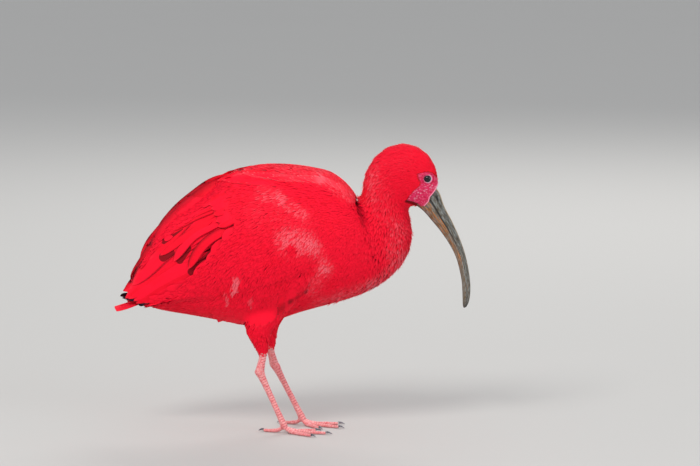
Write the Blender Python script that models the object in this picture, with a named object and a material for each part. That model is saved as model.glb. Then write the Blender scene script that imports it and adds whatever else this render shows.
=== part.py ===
"""A scarlet ibis at life size, standing hunched on both feet with its long bill turned down.

The bird faces +X, its right side is -Y, and the soles lie at z = 0. Every soft form is a loft
of chords: a chord runs from a point on the back of the outline to one on its front, and the
section through it is a rounded oval as wide as the bird is there. Places in the tables of
chords are in millimetres in the plane of symmetry, measured from the near leg's ankle line,
and MIDDLE moves the finished bird so that its origin is below the middle of its length.
"""

import math
from dataclasses import dataclass

import bmesh
import bpy
from mathutils import Matrix, Vector

MM = 0.001
GAP = 0.3
BED = 0.9
MIDDLE = 36.49

BODY_SIDES = 26
NECK_SIDES = 22
BILL_SIDES = 10
THIGH_SIDES = 14
TAIL_SIDES = 16
LEG_SIDES = 10
TOE_SIDES = 8
CLAW_SIDES = 6
STEPS = 2

OVAL = 0.86
HEAD_OVAL = 0.76
HEAD_LEAN = 0.12
EYE_RADIUS = 6.6
EYE_PLACE = (198.5, 9.4, 304.9)
FOOT_SPREAD = 29.0
ANKLE_HEIGHT = 75.0
FOOT_JOINT_HEIGHT = 10.0
MIDDLE_TOE = 52.0
CLAW = 9.5
TOE_RADIUS = 3.1
WING_THICKNESS = 8.0
WING_EDGE = 1.1
TAIL_HALF_WIDTH = 19.0
ACROSS = Vector((0, 1, 0))


@dataclass(frozen=True)
class Chord:
    """One section: its ends on the back and the front of the outline, and its half width."""

    back: tuple
    front: tuple
    half_width: float
    oval: float = OVAL
    lean: float = 0.0

    def values(self):
        """The numbers that a loft runs through."""
        return (*self.back, *self.front, self.half_width, self.oval, self.lean)


@dataclass(frozen=True)
class Girth:
    """One upright section of the folded wings' outer surface."""

    x: float
    top: float
    bottom: float
    half_width: float
    upper_angle: float
    wing_foot: float

    def values(self):
        """The numbers that a loft runs through."""
        return (self.x, self.top, self.bottom, self.half_width, self.upper_angle, self.wing_foot)


@dataclass(frozen=True)
class Leg:
    """The places of one leg in the bird's long plane, and the way its foot turns."""

    side: str
    y: float
    thigh: float
    ankle: float
    foot: float
    toe_in: float


TRUNK = (
    Chord((-153, 184), (-153, 158), 11),
    Chord((-135, 211), (-135, 149), 20),
    Chord((-114, 238), (-114, 144), 29),
    Chord((-90, 259), (-90, 140), 38),
    Chord((-62, 281), (-62, 135), 47.5),
    Chord((-38, 308), (-38, 130), 56),
    Chord((-14, 319), (-14, 126), 60),
    Chord((12, 322), (12, 131), 62),
    Chord((38, 321), (40, 141), 61.5),
    Chord((62, 317.5), (68, 149), 59),
    Chord((82, 312.5), (97, 157), 54.5),
    Chord((98, 301.5), (124, 166.5), 47.5),
    Chord((109, 289), (145, 178), 39),
    Chord((115, 278), (160, 191), 30),
    Chord((119, 268), (169, 203), 20),
)

NECK = (
    Chord((80, 236), (132, 171), 30),
    Chord((92, 251), (154, 185), 33.5),
    Chord((103, 263), (168, 199.5), 33),
    Chord((111, 271), (177, 216), 30),
    Chord((116, 276), (180.5, 235), 27),
    Chord((118, 280), (179, 251), 25),
    Chord((119.5, 285), (176, 263), 23.5),
    Chord((121, 295), (175, 270.5), 22.3),
    Chord((124.2, 311.2), (177.5, 271.5), 21.2),
    Chord((134.8, 329.6), (181, 271.5), 20.2, HEAD_OVAL, HEAD_LEAN),
    Chord((150.8, 342), (185, 271), 19.2, HEAD_OVAL, HEAD_LEAN),
    Chord((169.2, 346.6), (189, 270), 18, HEAD_OVAL, HEAD_LEAN),
    Chord((186, 342.5), (193, 269), 16.4, HEAD_OVAL, HEAD_LEAN),
    Chord((199.3, 332.5), (197, 269), 14.4, HEAD_OVAL, HEAD_LEAN),
    Chord((207.5, 318.5), (200.8, 271.5), 12.2, HEAD_OVAL, HEAD_LEAN),
    Chord((210.5, 304.5), (204.4, 276.5), 10, HEAD_OVAL, HEAD_LEAN),
    Chord((211.6, 295), (208, 284), 7),
)

BILL = (
    Chord((203, 297), (184.5, 272), 8.6),
    Chord((212.2, 288), (194, 264.5), 8.2),
    Chord((218.5, 271), (204.6, 252.2), 6.9),
    Chord((228, 252.5), (214.6, 240), 5.7),
    Chord((236.8, 233), (224.4, 225.6), 4.9),
    Chord((243.2, 215), (232.4, 210), 4.4),
    Chord((247.6, 196.5), (236.9, 194.6), 4.1),
    Chord((250.1, 178), (239.9, 178.8), 3.8),
    Chord((250.1, 164.5), (240.8, 163.4), 3.4),
    Chord((248.2, 154), (241.2, 151.4), 2.8),
    Chord((245.4, 148.6), (242.4, 147.6), 1.5),
)

WING = (
    Girth(86, 305, 163, 49, 66, 236),
    Girth(76, 313, 157, 56.5, 50, 220),
    Girth(56, 318, 147, 62, 38, 203),
    Girth(20, 323, 134, 64.8, 30, 188),
    Girth(-20, 320, 128, 62.5, 22, 177),
    Girth(-44, 311, 131, 57, 12, 172),
    Girth(-59, 296, 134, 51.5, 1.5, 168),
    Girth(-88, 273, 134, 43, 0.6, 162),
    Girth(-114, 252, 130, 34, 0.7, 156),
    Girth(-134, 223, 128, 28, 0.8, 153),
    Girth(-150, 198, 128, 23, 1, 152.5),
    Girth(-161, 178, 134, 17.5, 1.2, 155),
    Girth(-167, 166, 140, 14, 1.5, 158),
)

TAIL = (
    Chord((-96, 184), (-96, 162), 11),
    Chord((-120, 172), (-122, 154), 14),
    Chord((-142, 160), (-144, 147), 16),
    Chord((-158, 154), (-160, 142), TAIL_HALF_WIDTH),
    Chord((-171, 151), (-172, 140.5), TAIL_HALF_WIDTH + 2),
    Chord((-177.4, 148), (-177.4, 141.5), TAIL_HALF_WIDTH - 3),
)

LEGS = (
    Leg("right", -FOOT_SPREAD, thigh=0.0, ankle=-3.0, foot=26.0, toe_in=-13.0),
    Leg("left", FOOT_SPREAD, thigh=8.0, ankle=14.0, foot=47.0, toe_in=-30.0),
)

# Each toe: its name, its share of the middle toe's length and its turn from the foot's line.
TOES = (("middle", 1.0, 0.0), ("inner", 0.76, 27.0), ("outer", 0.86, -29.0), ("hind", 0.5, 172.0))

# The lower leg's sections: share of its length, and radius across and along the bird.
TARSUS = (
    (0.0, 5.2, 5.9),
    (0.06, 5.1, 6.0),
    (0.16, 3.9, 4.6),
    (0.4, 3.1, 3.7),
    (0.75, 3.1, 3.6),
    (0.92, 4.2, 3.9),
    (1.0, 4.7, 4.3),
    (1.07, 3.2, 2.9),
)

# The feathered thigh's sections: height, shift forwards and inwards, and half length and width.
THIGH = (
    (176, 9, 9, 12, 8),
    (160, 8, 6, 21, 12),
    (145, 4, 3, 24, 14),
    (133, -0.5, 1, 19.5, 13.5),
    (122, -3.6, 0, 15.4, 11.5),
    (109, -1.4, 0, 10.2, 8.5),
    (97.5, 1.2, 0, 6.6, 6.0),
)

COLOURS = {
    "feathers": ((0.80, 0.02, 0.03), 0.60),
    "quills": ((0.62, 0.01, 0.02), 0.55),
    "black": ((0.015, 0.017, 0.03), 0.45),
    "legs": ((0.75, 0.28, 0.28), 0.50),
    "horn": ((0.16, 0.13, 0.10), 0.35),
    "claw": ((0.10, 0.09, 0.09), 0.35),
    "eye": ((0.02, 0.02, 0.03), 0.08),
}


def clear_scene():
    """Remove every object that the file starts with."""
    for thing in list(bpy.data.objects):
        bpy.data.objects.remove(thing)


def new_collection(name):
    """A collection under the scene's own."""
    group = bpy.data.collections.new(name)
    bpy.context.scene.collection.children.link(group)
    return group


def material(name):
    """The Principled material of one kind of surface, made once."""
    found = bpy.data.materials.get(name)
    if found:
        return found
    colour, roughness = COLOURS[name]
    made = bpy.data.materials.new(name)
    made.use_nodes = True
    shader = made.node_tree.nodes["Principled BSDF"]
    shader.inputs["Base Color"].default_value = (*colour, 1.0)
    shader.inputs["Roughness"].default_value = roughness
    shader.inputs["Metallic"].default_value = 0.0
    return made


def between(rows, steps=STEPS):
    """Rows of numbers with a smooth run of further rows between each pair."""
    rows = [Vector(row) for row in rows]
    out = []
    for i in range(len(rows) - 1):
        before = rows[max(i - 1, 0)]
        start, end = rows[i], rows[i + 1]
        after = rows[min(i + 2, len(rows) - 1)]
        for step in range(steps):
            t = step / steps
            curve = (
                2 * start
                + (end - before) * t
                + (2 * before - 5 * start + 4 * end - after) * t * t
                + (3 * start - before - 3 * end + after) * t**3
            )
            out.append(curve / 2)
    return [*out, rows[-1]]


def object_from(work, name):
    """A new object that holds a bmesh, outside any collection of parts."""
    bmesh.ops.recalc_face_normals(work, faces=work.faces)
    mesh = bpy.data.meshes.new(name)
    work.to_mesh(mesh)
    work.free()
    made = bpy.data.objects.new(name, mesh)
    bpy.context.scene.collection.objects.link(made)
    return made


def loft(name, rings):
    """A closed solid through rings of as many points each, its ends drawn to their middles."""
    work = bmesh.new()
    grid = [[work.verts.new(Vector(point) * MM) for point in ring] for ring in rings]
    count = len(rings[0])
    for low, high in zip(grid, grid[1:]):
        for i in range(count):
            j = (i + 1) % count
            work.faces.new((low[i], low[j], high[j], high[i]))
    for ring in (grid[0], grid[-1]):
        middle = sum((vert.co for vert in ring), Vector()) / count
        hub = work.verts.new(middle)
        for i in range(count):
            work.faces.new((ring[i], ring[(i + 1) % count], hub))
    return object_from(work, name)


def oval_ring(values, sides, grow=0.0, part=(0.0, 1.0)):
    """The points round one chord. part keeps a share of the chord, as one half of the bill."""
    oval, lean = values[5], values[6]
    back, front = Vector((values[0], 0, values[1])), Vector((values[2], 0, values[3]))
    along = front - back
    half = along.length / 2
    along.normalize()
    middle = (back + front) / 2
    width = values[4] + grow
    ring = []
    for i in range(sides):
        angle = 2 * math.pi * i / sides
        reach = -math.cos(angle) * (half + grow)
        lowest, highest = (-half + 2 * half * share for share in part)
        reach = min(max(reach, lowest), highest) if part != (0.0, 1.0) else reach
        across = math.sin(angle)
        across = math.copysign(abs(across) ** oval, across)
        point = middle + along * reach
        ring.append((point.x, width * across * (1 - lean * reach / half), point.z))
    return ring


def chord_loft(name, chords, sides, grow=0.0, steps=STEPS):
    """A loft of whole chords. grow makes it that much larger on every side."""
    rows = between([chord.values() for chord in chords], steps)
    rings = [oval_ring(row, sides, grow) for row in rows]
    if grow:
        rings = stretch_ends(rings, grow)
    return loft(name, rings)


def stretch_ends(rings, grow):
    """Rings with the first and the last moved outwards along the loft."""
    first, second, before, last = (
        sum((Vector(point) for point in ring), Vector()) / len(ring)
        for ring in (rings[0], rings[1], rings[-2], rings[-1])
    )
    start = (first - second).normalized() * grow
    end = (last - before).normalized() * grow
    moved_first = [Vector(point) + start for point in rings[0]]
    moved_last = [Vector(point) + end for point in rings[-1]]
    return [moved_first, *rings[1:-1], moved_last]


def girth_point(row, angle, inwards):
    """A point of the wings' outer surface at one section, sunk inwards by a depth."""
    x, top, bottom, half_width = row[0], row[1], row[2], row[3]
    middle, half = (top + bottom) / 2, (top - bottom) / 2
    across = max(math.sin(angle), 0.0) ** OVAL
    return (x, -(half_width - inwards) * across, middle + (half - inwards) * math.cos(angle))


def wing_rings(grow):
    """The rings of the right wing's shell, from the bend of the wing back to its tip."""
    rows = between([girth.values() for girth in WING], steps=1)
    rings = []
    for place, row in enumerate(rows):
        middle, half = (row[1] + row[2]) / 2, (row[1] - row[2]) / 2
        upper = math.radians(row[4])
        lower = math.acos(max(-0.97, min(0.97, (row[5] - middle) / half)))
        ends = math.sin(math.pi * (0.12 + 0.8 * place / (len(rows) - 1))) ** 0.6
        points = 11
        outer, inner = [], []
        for i in range(points):
            share = i / (points - 1)
            slack = grow / half * (2 * share - 1)
            angle = upper + (lower - upper) * share + slack
            swell = math.sin(math.pi * share) ** 0.7
            depth = WING_EDGE + (WING_THICKNESS * ends - WING_EDGE) * swell
            outer.append(girth_point(row, angle, -grow))
            inner.append(girth_point(row, angle, depth + grow))
        rings.append(outer + inner[::-1])
    return stretch_ends(rings, grow) if grow else rings


def wing_shell(name, mirrored, grow=0.0):
    """One folded wing as a curved shell that lies on the side of the trunk."""
    turn = -1 if mirrored else 1
    rings = [[(x, min(y, grow - 0.6) * turn, z) for x, y, z in ring] for ring in wing_rings(grow)]
    return loft(name, rings)


def sweep(name, path, radii, sides, aside, floor=None, steps=STEPS):
    """A tube along a path, with radii at each point: to its side, and across path and side."""
    rows = between([(*point, *pair) for point, pair in zip(path, radii)], steps)
    places = [Vector(row[:3]) for row in rows]
    rings = []
    for i, row in enumerate(rows):
        way = (places[min(i + 1, len(rows) - 1)] - places[max(i - 1, 0)]).normalized()
        other = aside.cross(way).normalized()
        ring = []
        for k in range(sides):
            angle = 2 * math.pi * (k + 0.5) / sides
            point = places[i] + aside * (math.cos(angle) * row[3]) + other * (math.sin(angle) * row[4])
            if floor is not None:
                point.z = max(point.z, floor)
            ring.append(point)
        rings.append(ring)
    return loft(name, rings)


def combine(target, other, operation, keep=False):
    """Join another solid to the target, cut it away or keep what they share."""
    step = target.modifiers.new(operation.lower(), "BOOLEAN")
    step.operation = operation
    step.solver = "EXACT"
    step.object = other
    graph = bpy.context.evaluated_depsgraph_get()
    mesh = bpy.data.meshes.new_from_object(target.evaluated_get(graph))
    target.modifiers.clear()
    target.data = mesh
    if not keep:
        bpy.data.objects.remove(other)
    return target


def copy_of(thing, name):
    """A second object with its own mesh."""
    made = bpy.data.objects.new(name, thing.data.copy())
    bpy.context.scene.collection.objects.link(made)
    return made


def keep_side(thing, point, normal):
    """Slice a solid by a plane and close it, keeping what lies on the normal's side."""
    way = Vector(normal).normalized()
    place = Vector(point) * MM + way * (GAP * MM / 2)
    work = bmesh.new()
    work.from_mesh(thing.data)
    geometry = [*work.verts, *work.edges, *work.faces]
    cut = bmesh.ops.bisect_plane(
        work, geom=geometry, dist=1e-7, plane_co=place, plane_no=way, clear_inner=True, clear_outer=False
    )
    edges = [item for item in cut["geom_cut"] if isinstance(item, bmesh.types.BMEdge)]
    bmesh.ops.triangle_fill(work, edges=edges, use_beauty=True, use_dissolve=False)
    bmesh.ops.recalc_face_normals(work, faces=work.faces)
    work.to_mesh(thing.data)
    work.free()
    return thing


def keep_other_side(thing, point, normal):
    """Slice a solid by a plane and keep what lies behind it."""
    return keep_side(thing, point, [-value for value in normal])


def plane_through(back, front):
    """A point and a normal of the upright plane through two places of the outline."""
    along = Vector((front[0] - back[0], 0, front[1] - back[1]))
    return (back[0], 0, back[1]), (-along.z, 0, along.x)


def finish(thing, surface, group):
    """Give a part its material, smooth shading and place among the parts."""
    thing.data.transform(Matrix.Translation((-MIDDLE * MM, 0, 0)))
    thing.data.materials.clear()
    thing.data.materials.append(material(surface))
    thing.data.shade_smooth()
    thing.data.set_sharp_from_angle(angle=math.radians(50))
    bpy.context.scene.collection.objects.unlink(thing)
    group.objects.link(thing)
    return thing


def eyeball(name, side, grow=0.0):
    """An eye, set into the side of the head."""
    work = bmesh.new()
    bmesh.ops.create_uvsphere(work, u_segments=12, v_segments=8, radius=(EYE_RADIUS + grow) * MM)
    turn = Matrix.Rotation(math.pi / 2, 4, "X")
    place = Matrix.Translation(Vector((EYE_PLACE[0], EYE_PLACE[1] * side, EYE_PLACE[2])) * MM)
    bmesh.ops.transform(work, matrix=place @ turn, verts=work.verts)
    return object_from(work, name)


def build_body():
    """Trunk, neck and head in one, before they are parted."""
    trunk = chord_loft("trunk", TRUNK, BODY_SIDES)
    neck = chord_loft("neck", NECK, NECK_SIDES, steps=1)
    return combine(trunk, neck, "UNION")


def build_head_and_neck(group):
    """Part the body at the throat, at the middle of the neck and at its foot."""
    body = build_body()
    throat = plane_through((121.5, 291), (175.5, 270))
    middle = plane_through((118.4, 281.6), (180.5, 243))
    foot = plane_through((117.5, 279.4), (150, 181))
    beyond = keep_side(copy_of(body, "beyond"), *foot)
    above = keep_side(copy_of(beyond, "above"), *middle)
    lower = keep_other_side(copy_of(beyond, "neck_lower"), *middle)
    head = keep_side(copy_of(above, "head"), *throat)
    upper = keep_other_side(copy_of(above, "neck_upper"), *throat)
    bpy.data.objects.remove(beyond)
    bpy.data.objects.remove(above)
    body.name = "trunk"
    trunk = keep_other_side(body, *foot)
    for side, word in ((-1, "right"), (1, "left")):
        combine(head, eyeball("socket", side, GAP), "DIFFERENCE")
        finish(eyeball(f"eye_{word}", side), "eye", group)
    finish(upper, "feathers", group)
    finish(lower, "feathers", group)
    return head, trunk


def build_bill(head, group):
    """The two halves of the bill, from the face to the blunt tip."""
    rows = between([chord.values() for chord in BILL])
    whole_head = chord_loft("face", NECK, NECK_SIDES, GAP, steps=1)
    for name, part in (("bill_upper", (0.0, 0.5)), ("bill_lower", (0.5, 1.0))):
        rings = []
        for row in rows:
            length = math.hypot(row[2] - row[0], row[3] - row[1])
            slot = GAP / 2 / length
            share = (part[0], part[1] - slot) if part[0] == 0.0 else (part[0] + slot, part[1])
            rings.append(oval_ring(row, BILL_SIDES, part=share))
        half = loft(name, rings)
        half = combine(half, whole_head, "DIFFERENCE", keep=True)
        finish(half, "horn", group)
    bpy.data.objects.remove(whole_head)
    finish(head, "feathers", group)


def build_wings(trunk, group):
    """Both folded wings, parted into coverts, quills and the black tip, and their beds in the trunk."""
    covert_edge = plane_through((-2, 325), (-72, 150))
    tip_edge = plane_through((-146, 230), (-158, 140))
    for word, mirrored in (("right", False), ("left", True)):
        combine(trunk, wing_shell("bed", mirrored, BED), "DIFFERENCE")
        wing = wing_shell("wing", mirrored)
        coverts = keep_side(copy_of(wing, f"wing_coverts_{word}"), *covert_edge)
        quills = keep_other_side(copy_of(wing, f"wing_quills_{word}"), *covert_edge)
        keep_side(quills, *tip_edge)
        tip = keep_other_side(copy_of(wing, f"wing_tip_{word}"), *tip_edge)
        bpy.data.objects.remove(wing)
        finish(coverts, "feathers", group)
        finish(quills, "quills", group)
        finish(tip, "black", group)


def tail_loft(name, grow=0.0):
    """The closed tail, a flat fan that droops a little at its sides."""
    rows = between([chord.values() for chord in TAIL])
    rings = []
    for row in rows:
        ring = []
        for x, y, z in oval_ring(row, TAIL_SIDES, grow):
            droop = 0.012 * y * y
            ring.append((x, y, z - droop))
        rings.append(ring)
    return loft(name, stretch_ends(rings, grow) if grow else rings)


def build_tail(trunk, group):
    """The tail, and the hollow that its root fills in the trunk."""
    combine(trunk, tail_loft("root", BED), "DIFFERENCE")
    tail = tail_loft("tail")
    for mirrored in (False, True):
        combine(tail, wing_shell("bed", mirrored, BED), "DIFFERENCE")
    finish(tail, "quills", group)


def thigh_loft(name, leg, grow=0.0):
    """The feathered upper leg, wide where it leaves the flank and narrow above the bare shank."""
    outwards = math.copysign(1.0, leg.y)
    path, radii = [], []
    for height, forward, inwards, along, across in THIGH:
        path.append((forward + leg.thigh, leg.y - inwards * outwards, height))
        radii.append((along + grow, across + grow))
    rows = between([(*point, *pair) for point, pair in zip(path, radii)], steps=1)
    rings = []
    for row in rows:
        ring = []
        for k in range(THIGH_SIDES):
            angle = 2 * math.pi * k / THIGH_SIDES
            ring.append((row[0] + row[3] * math.cos(angle), row[1] + row[4] * math.sin(angle), row[2]))
        rings.append(ring)
    return loft(name, stretch_ends(rings, grow) if grow else rings)


def ankle_plane(leg):
    """The level plane that parts the shank from the tarsus."""
    return (leg.ankle, 0, ANKLE_HEIGHT), (0, 0, 1)


def shank(leg):
    """The bare lower end of the upper leg, down to the ankle."""
    top = leg.thigh + 1.2
    heights = (97.5 - GAP, 90, 83, ANKLE_HEIGHT - 3.0)
    shares = (0.0, 0.1, 0.5, 1.0)
    path = [(top + (leg.ankle - top) * share, leg.y, height) for height, share in zip(heights, shares)]
    radii = [(4.3, 4.8), (4.0, 4.5), (4.4, 4.8), (5.2, 5.9)]
    return keep_side(sweep(f"shank_{leg.side}", path, radii, LEG_SIDES, ACROSS), *ankle_plane(leg))


def tarsus(name, leg, grow=0.0):
    """The long lower leg from the ankle to the joint that the toes leave."""
    top = Vector((leg.ankle - 1.4, leg.y, ANKLE_HEIGHT + 3.0))
    foot = Vector((leg.foot, leg.y, FOOT_JOINT_HEIGHT))
    path, radii = [], []
    for share, across, along in TARSUS:
        path.append(top + (foot - top) * share)
        radii.append((across + grow, along + grow))
    return sweep(name, path, radii, LEG_SIDES, ACROSS)


def toe_way(leg, turn):
    """The level direction of a toe. Inner toes turn towards the other foot."""
    inwards = 1 if leg.side == "right" else -1
    angle = math.radians(leg.toe_in + turn * inwards)
    return Vector((math.cos(angle), math.sin(angle), 0))


def level_side(way):
    """The level direction square to a toe."""
    return way.cross(Vector((0, 0, 1))).normalized()


def toe(name, leg, share, turn, grow=0.0):
    """One toe, its joints swollen, lying with its pads on the floor."""
    way = toe_way(leg, turn)
    length = MIDDLE_TOE * share
    start = Vector((leg.foot, leg.y, FOOT_JOINT_HEIGHT - 2.2))
    path, radii = [start], [(TOE_RADIUS * 0.9 + grow, TOE_RADIUS + grow)]
    joints = max(round(4 * share), 2)
    for step in range(1, 2 * joints + 1):
        part = step / (2 * joints)
        radius = TOE_RADIUS * (1.0 - 0.28 * part) * (1.06 if step % 2 == 0 else 0.9)
        height = radius * 0.77 + (FOOT_JOINT_HEIGHT - 5.5) * max(0.0, 1 - 3.2 * part)
        path.append(start.lerp(start + way * length, part).to_2d().to_3d() + Vector((0, 0, height)))
        radii.append((radius + grow, radius * 0.92 + grow))
    return sweep(name, path, radii, TOE_SIDES, level_side(way), floor=-grow, steps=1)


def claw(name, leg, share, turn):
    """One curved claw at the end of a toe, its point just clear of the floor."""
    way = toe_way(leg, turn)
    start = Vector((leg.foot, leg.y, 0)) + way * (MIDDLE_TOE * share - 1.5)
    size = CLAW * (0.75 + 0.25 * share)
    heights, radii = (2.5, 3.1, 2.7, 1.2), (1.6, 1.75, 1.25, 0.35)
    path = []
    for part, height in zip((0, 0.3, 0.65, 1), heights):
        path.append(start + way * (size * part) + Vector((0, 0, height)))
    pairs = [(radius * 0.85, radius) for radius in radii]
    return sweep(name, path, pairs, CLAW_SIDES, level_side(way), floor=0.0, steps=1)


def build_leg(leg, trunk, group):
    """A whole leg: thigh, shank, tarsus, toes and claws, each clear of the next by the gap."""
    combine(trunk, thigh_loft("bed", leg, GAP), "DIFFERENCE")
    finish(thigh_loft(f"thigh_{leg.side}", leg), "feathers", group)
    finish(shank(leg), "legs", group)
    ankle = tarsus("ankle", leg, GAP)
    middle_bed = toe("middle", leg, 1.0, 0.0, GAP)
    for name, share, turn in TOES:
        digit = toe(f"toe_{name}_{leg.side}", leg, share, turn)
        combine(digit, ankle, "DIFFERENCE", keep=True)
        if name in ("inner", "outer"):
            combine(digit, middle_bed, "DIFFERENCE", keep=True)
        nail = claw(f"claw_{name}_{leg.side}", leg, share, turn)
        combine(nail, toe("bed", leg, share, turn, GAP), "DIFFERENCE")
        finish(digit, "legs", group)
        finish(nail, "claw", group)
    bpy.data.objects.remove(ankle)
    bpy.data.objects.remove(middle_bed)
    finish(keep_other_side(tarsus(f"tarsus_{leg.side}", leg), *ankle_plane(leg)), "legs", group)


def main():
    """Build every part of the bird."""
    clear_scene()
    group = new_collection("scarlet_ibis")
    head, trunk = build_head_and_neck(group)
    build_bill(head, group)
    build_wings(trunk, group)
    build_tail(trunk, group)
    for leg in LEGS:
        build_leg(leg, trunk, group)
    finish(trunk, "feathers", group)


main()
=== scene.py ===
"""The looks of a life-size scarlet ibis: its skin, bill, eyes, claws and coat of feathers.

Places in the classes below are in millimetres and in the part's own tables: x runs forwards from
the near ankle's line, y to the bird's left and z up from the soles. What is given by x and z alone
is seen from the side and holds for both sides of the bird.
"""

import logging
import math
from collections.abc import Callable, Iterable, Sequence
from dataclasses import dataclass, field
from enum import Enum

import bmesh
import bpy
import numpy as np
from mathutils import Matrix, Vector, noise
from mathutils.bvhtree import BVHTree
from mathutils.kdtree import KDTree


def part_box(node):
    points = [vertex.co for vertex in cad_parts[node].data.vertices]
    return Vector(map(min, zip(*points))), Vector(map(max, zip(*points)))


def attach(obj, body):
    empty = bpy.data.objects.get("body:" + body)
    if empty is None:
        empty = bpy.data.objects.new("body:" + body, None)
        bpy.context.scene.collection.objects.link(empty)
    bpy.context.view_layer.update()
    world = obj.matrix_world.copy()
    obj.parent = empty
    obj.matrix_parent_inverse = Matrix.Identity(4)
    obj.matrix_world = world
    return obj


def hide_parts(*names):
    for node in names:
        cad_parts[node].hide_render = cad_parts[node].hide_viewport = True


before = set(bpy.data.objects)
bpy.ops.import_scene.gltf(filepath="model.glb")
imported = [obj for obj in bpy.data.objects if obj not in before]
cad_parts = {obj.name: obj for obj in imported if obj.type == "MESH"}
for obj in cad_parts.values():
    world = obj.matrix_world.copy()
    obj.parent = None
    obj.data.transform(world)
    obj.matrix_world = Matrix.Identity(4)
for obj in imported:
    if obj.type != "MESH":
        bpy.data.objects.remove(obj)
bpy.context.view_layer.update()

Array = np.ndarray
LOG = logging.getLogger("scarlet_ibis")

MM = 0.001
MIDDLE = 36.49
SIDES = {"right": -1, "left": 1}
TOES = ("middle", "inner", "outer", "hind")
ROOT_DEPTH = 0.3
BAKE_PATCH = 0.003
COAT_LIMIT = 185_000
UNWRAP_FACES = 6000
PLATE_RUN = 3.1
WELD = 1e-6


def linear(red: float, green: float, blue: float) -> tuple[float, float, float, float]:
    """A colour as shaders take it, from one as screens show it, 0 to 255."""
    parts = [value / 255 for value in (red, green, blue)]
    lit = [part / 12.92 if part <= 0.04045 else ((part + 0.055) / 1.055) ** 2.4 for part in parts]
    return (*lit, 1.0)


def unit(vectors: Array) -> Array:
    """Vectors brought to length one."""
    return vectors / np.maximum(np.linalg.norm(vectors, axis=-1, keepdims=True), 1e-9)


def turned(ways: Array, normals: Array, turns: Array) -> Array:
    """Ways along a surface, turned about its normals by angles in radians."""
    return unit(ways * np.cos(turns)[:, None] + np.cross(normals, ways) * np.sin(turns)[:, None])


def vane_places(stations: Sequence[float], ring: Sequence[float], count: int) -> tuple[Array, Array]:
    """The places across and along the vane at each point of a number of like feathers."""
    shape = (count, len(stations), len(ring))
    return np.broadcast_to(np.array(ring), shape), np.broadcast_to(np.array(stations)[:, None], shape)


def ease(low: float, high: float, values: Array) -> Array:
    """A smooth step from 0 at low to 1 at high."""
    share = np.clip((values - low) / (high - low), 0.0, 1.0)
    return share * share * (3 - 2 * share)


def to_frame(points: Array) -> Array:
    """Points of the tables as points of the scene, in metres."""
    return (points - np.array([MIDDLE, 0, 0])) * MM


def from_frame(points: Array) -> Array:
    """Points of the scene as points of the tables."""
    return points / MM + np.array([MIDDLE, 0, 0])


def curve_between(rows: Sequence[Sequence[float]], steps: int) -> Array:
    """Rows of numbers with a smooth run of further rows between each pair.

    Args:
        rows: The rows that the curve goes through.
        steps: How many rows there are from one given row to the next.

    Returns:
        All rows, as an array.
    """
    given = np.array(rows, float)
    padded = np.vstack([given[:1], given, given[-1:]])
    out = []
    for i in range(len(given) - 1):
        before, start, end, after = padded[i : i + 4]
        for step in range(steps):
            t = step / steps
            out.append(
                (
                    2 * start
                    + (end - before) * t
                    + (2 * before - 5 * start + 4 * end - after) * t**2
                    + (3 * start - before - 3 * end + after) * t**3
                )
                / 2
            )
    return np.array([*out, given[-1]])


def operator(name: str, reflected: bool = False) -> Callable[["Signal", "Signal | float"], "Signal"]:
    """A method for one of Python's operators, which adds a Math node of the given name."""

    def method(self: "Signal", other: "Signal | float") -> "Signal":
        """The node's output."""
        return self.math(name, other, reflected=reflected)

    return method


class Signal:
    """A number in a shader. Python's operators on it add Math nodes."""

    __add__, __radd__ = operator("ADD"), operator("ADD", reflected=True)
    __sub__, __rsub__ = operator("SUBTRACT"), operator("SUBTRACT", reflected=True)
    __mul__, __rmul__ = operator("MULTIPLY"), operator("MULTIPLY", reflected=True)
    __truediv__, __pow__ = operator("DIVIDE"), operator("POWER")

    def __init__(self, graph: "Graph", socket: bpy.types.NodeSocket) -> None:
        self.graph, self.socket = graph, socket

    def math(self, operation: str, *others: "Signal | float", reflected: bool = False) -> "Signal":
        """The output of one Math node with these inputs, where this number comes last if reflected."""
        values = [*others, self] if reflected else [self, *others]
        node = self.graph.node("ShaderNodeMath", {"operation": operation}, dict(enumerate(values)))
        return Signal(self.graph, node.outputs[0])

    def sine(self) -> "Signal":
        """The sine."""
        return self.math("SINE")

    def size(self) -> "Signal":
        """The number without its sign."""
        return self.math("ABSOLUTE")

    def step(self, low: float, high: float) -> "Signal":
        """A smooth step from 0 at low to 1 at high, or from 1 down to 0 where high comes first."""
        ends = {"From Min": low, "From Max": high, "To Min": 0.0, "To Max": 1.0, "Value": self}
        if low > high:
            ends |= {"From Min": high, "From Max": low, "To Min": 1.0, "To Max": 0.0}
        node = self.graph.node("ShaderNodeMapRange", {"interpolation_type": "SMOOTHSTEP"}, ends)
        return Signal(self.graph, node.outputs["Result"])


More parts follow.
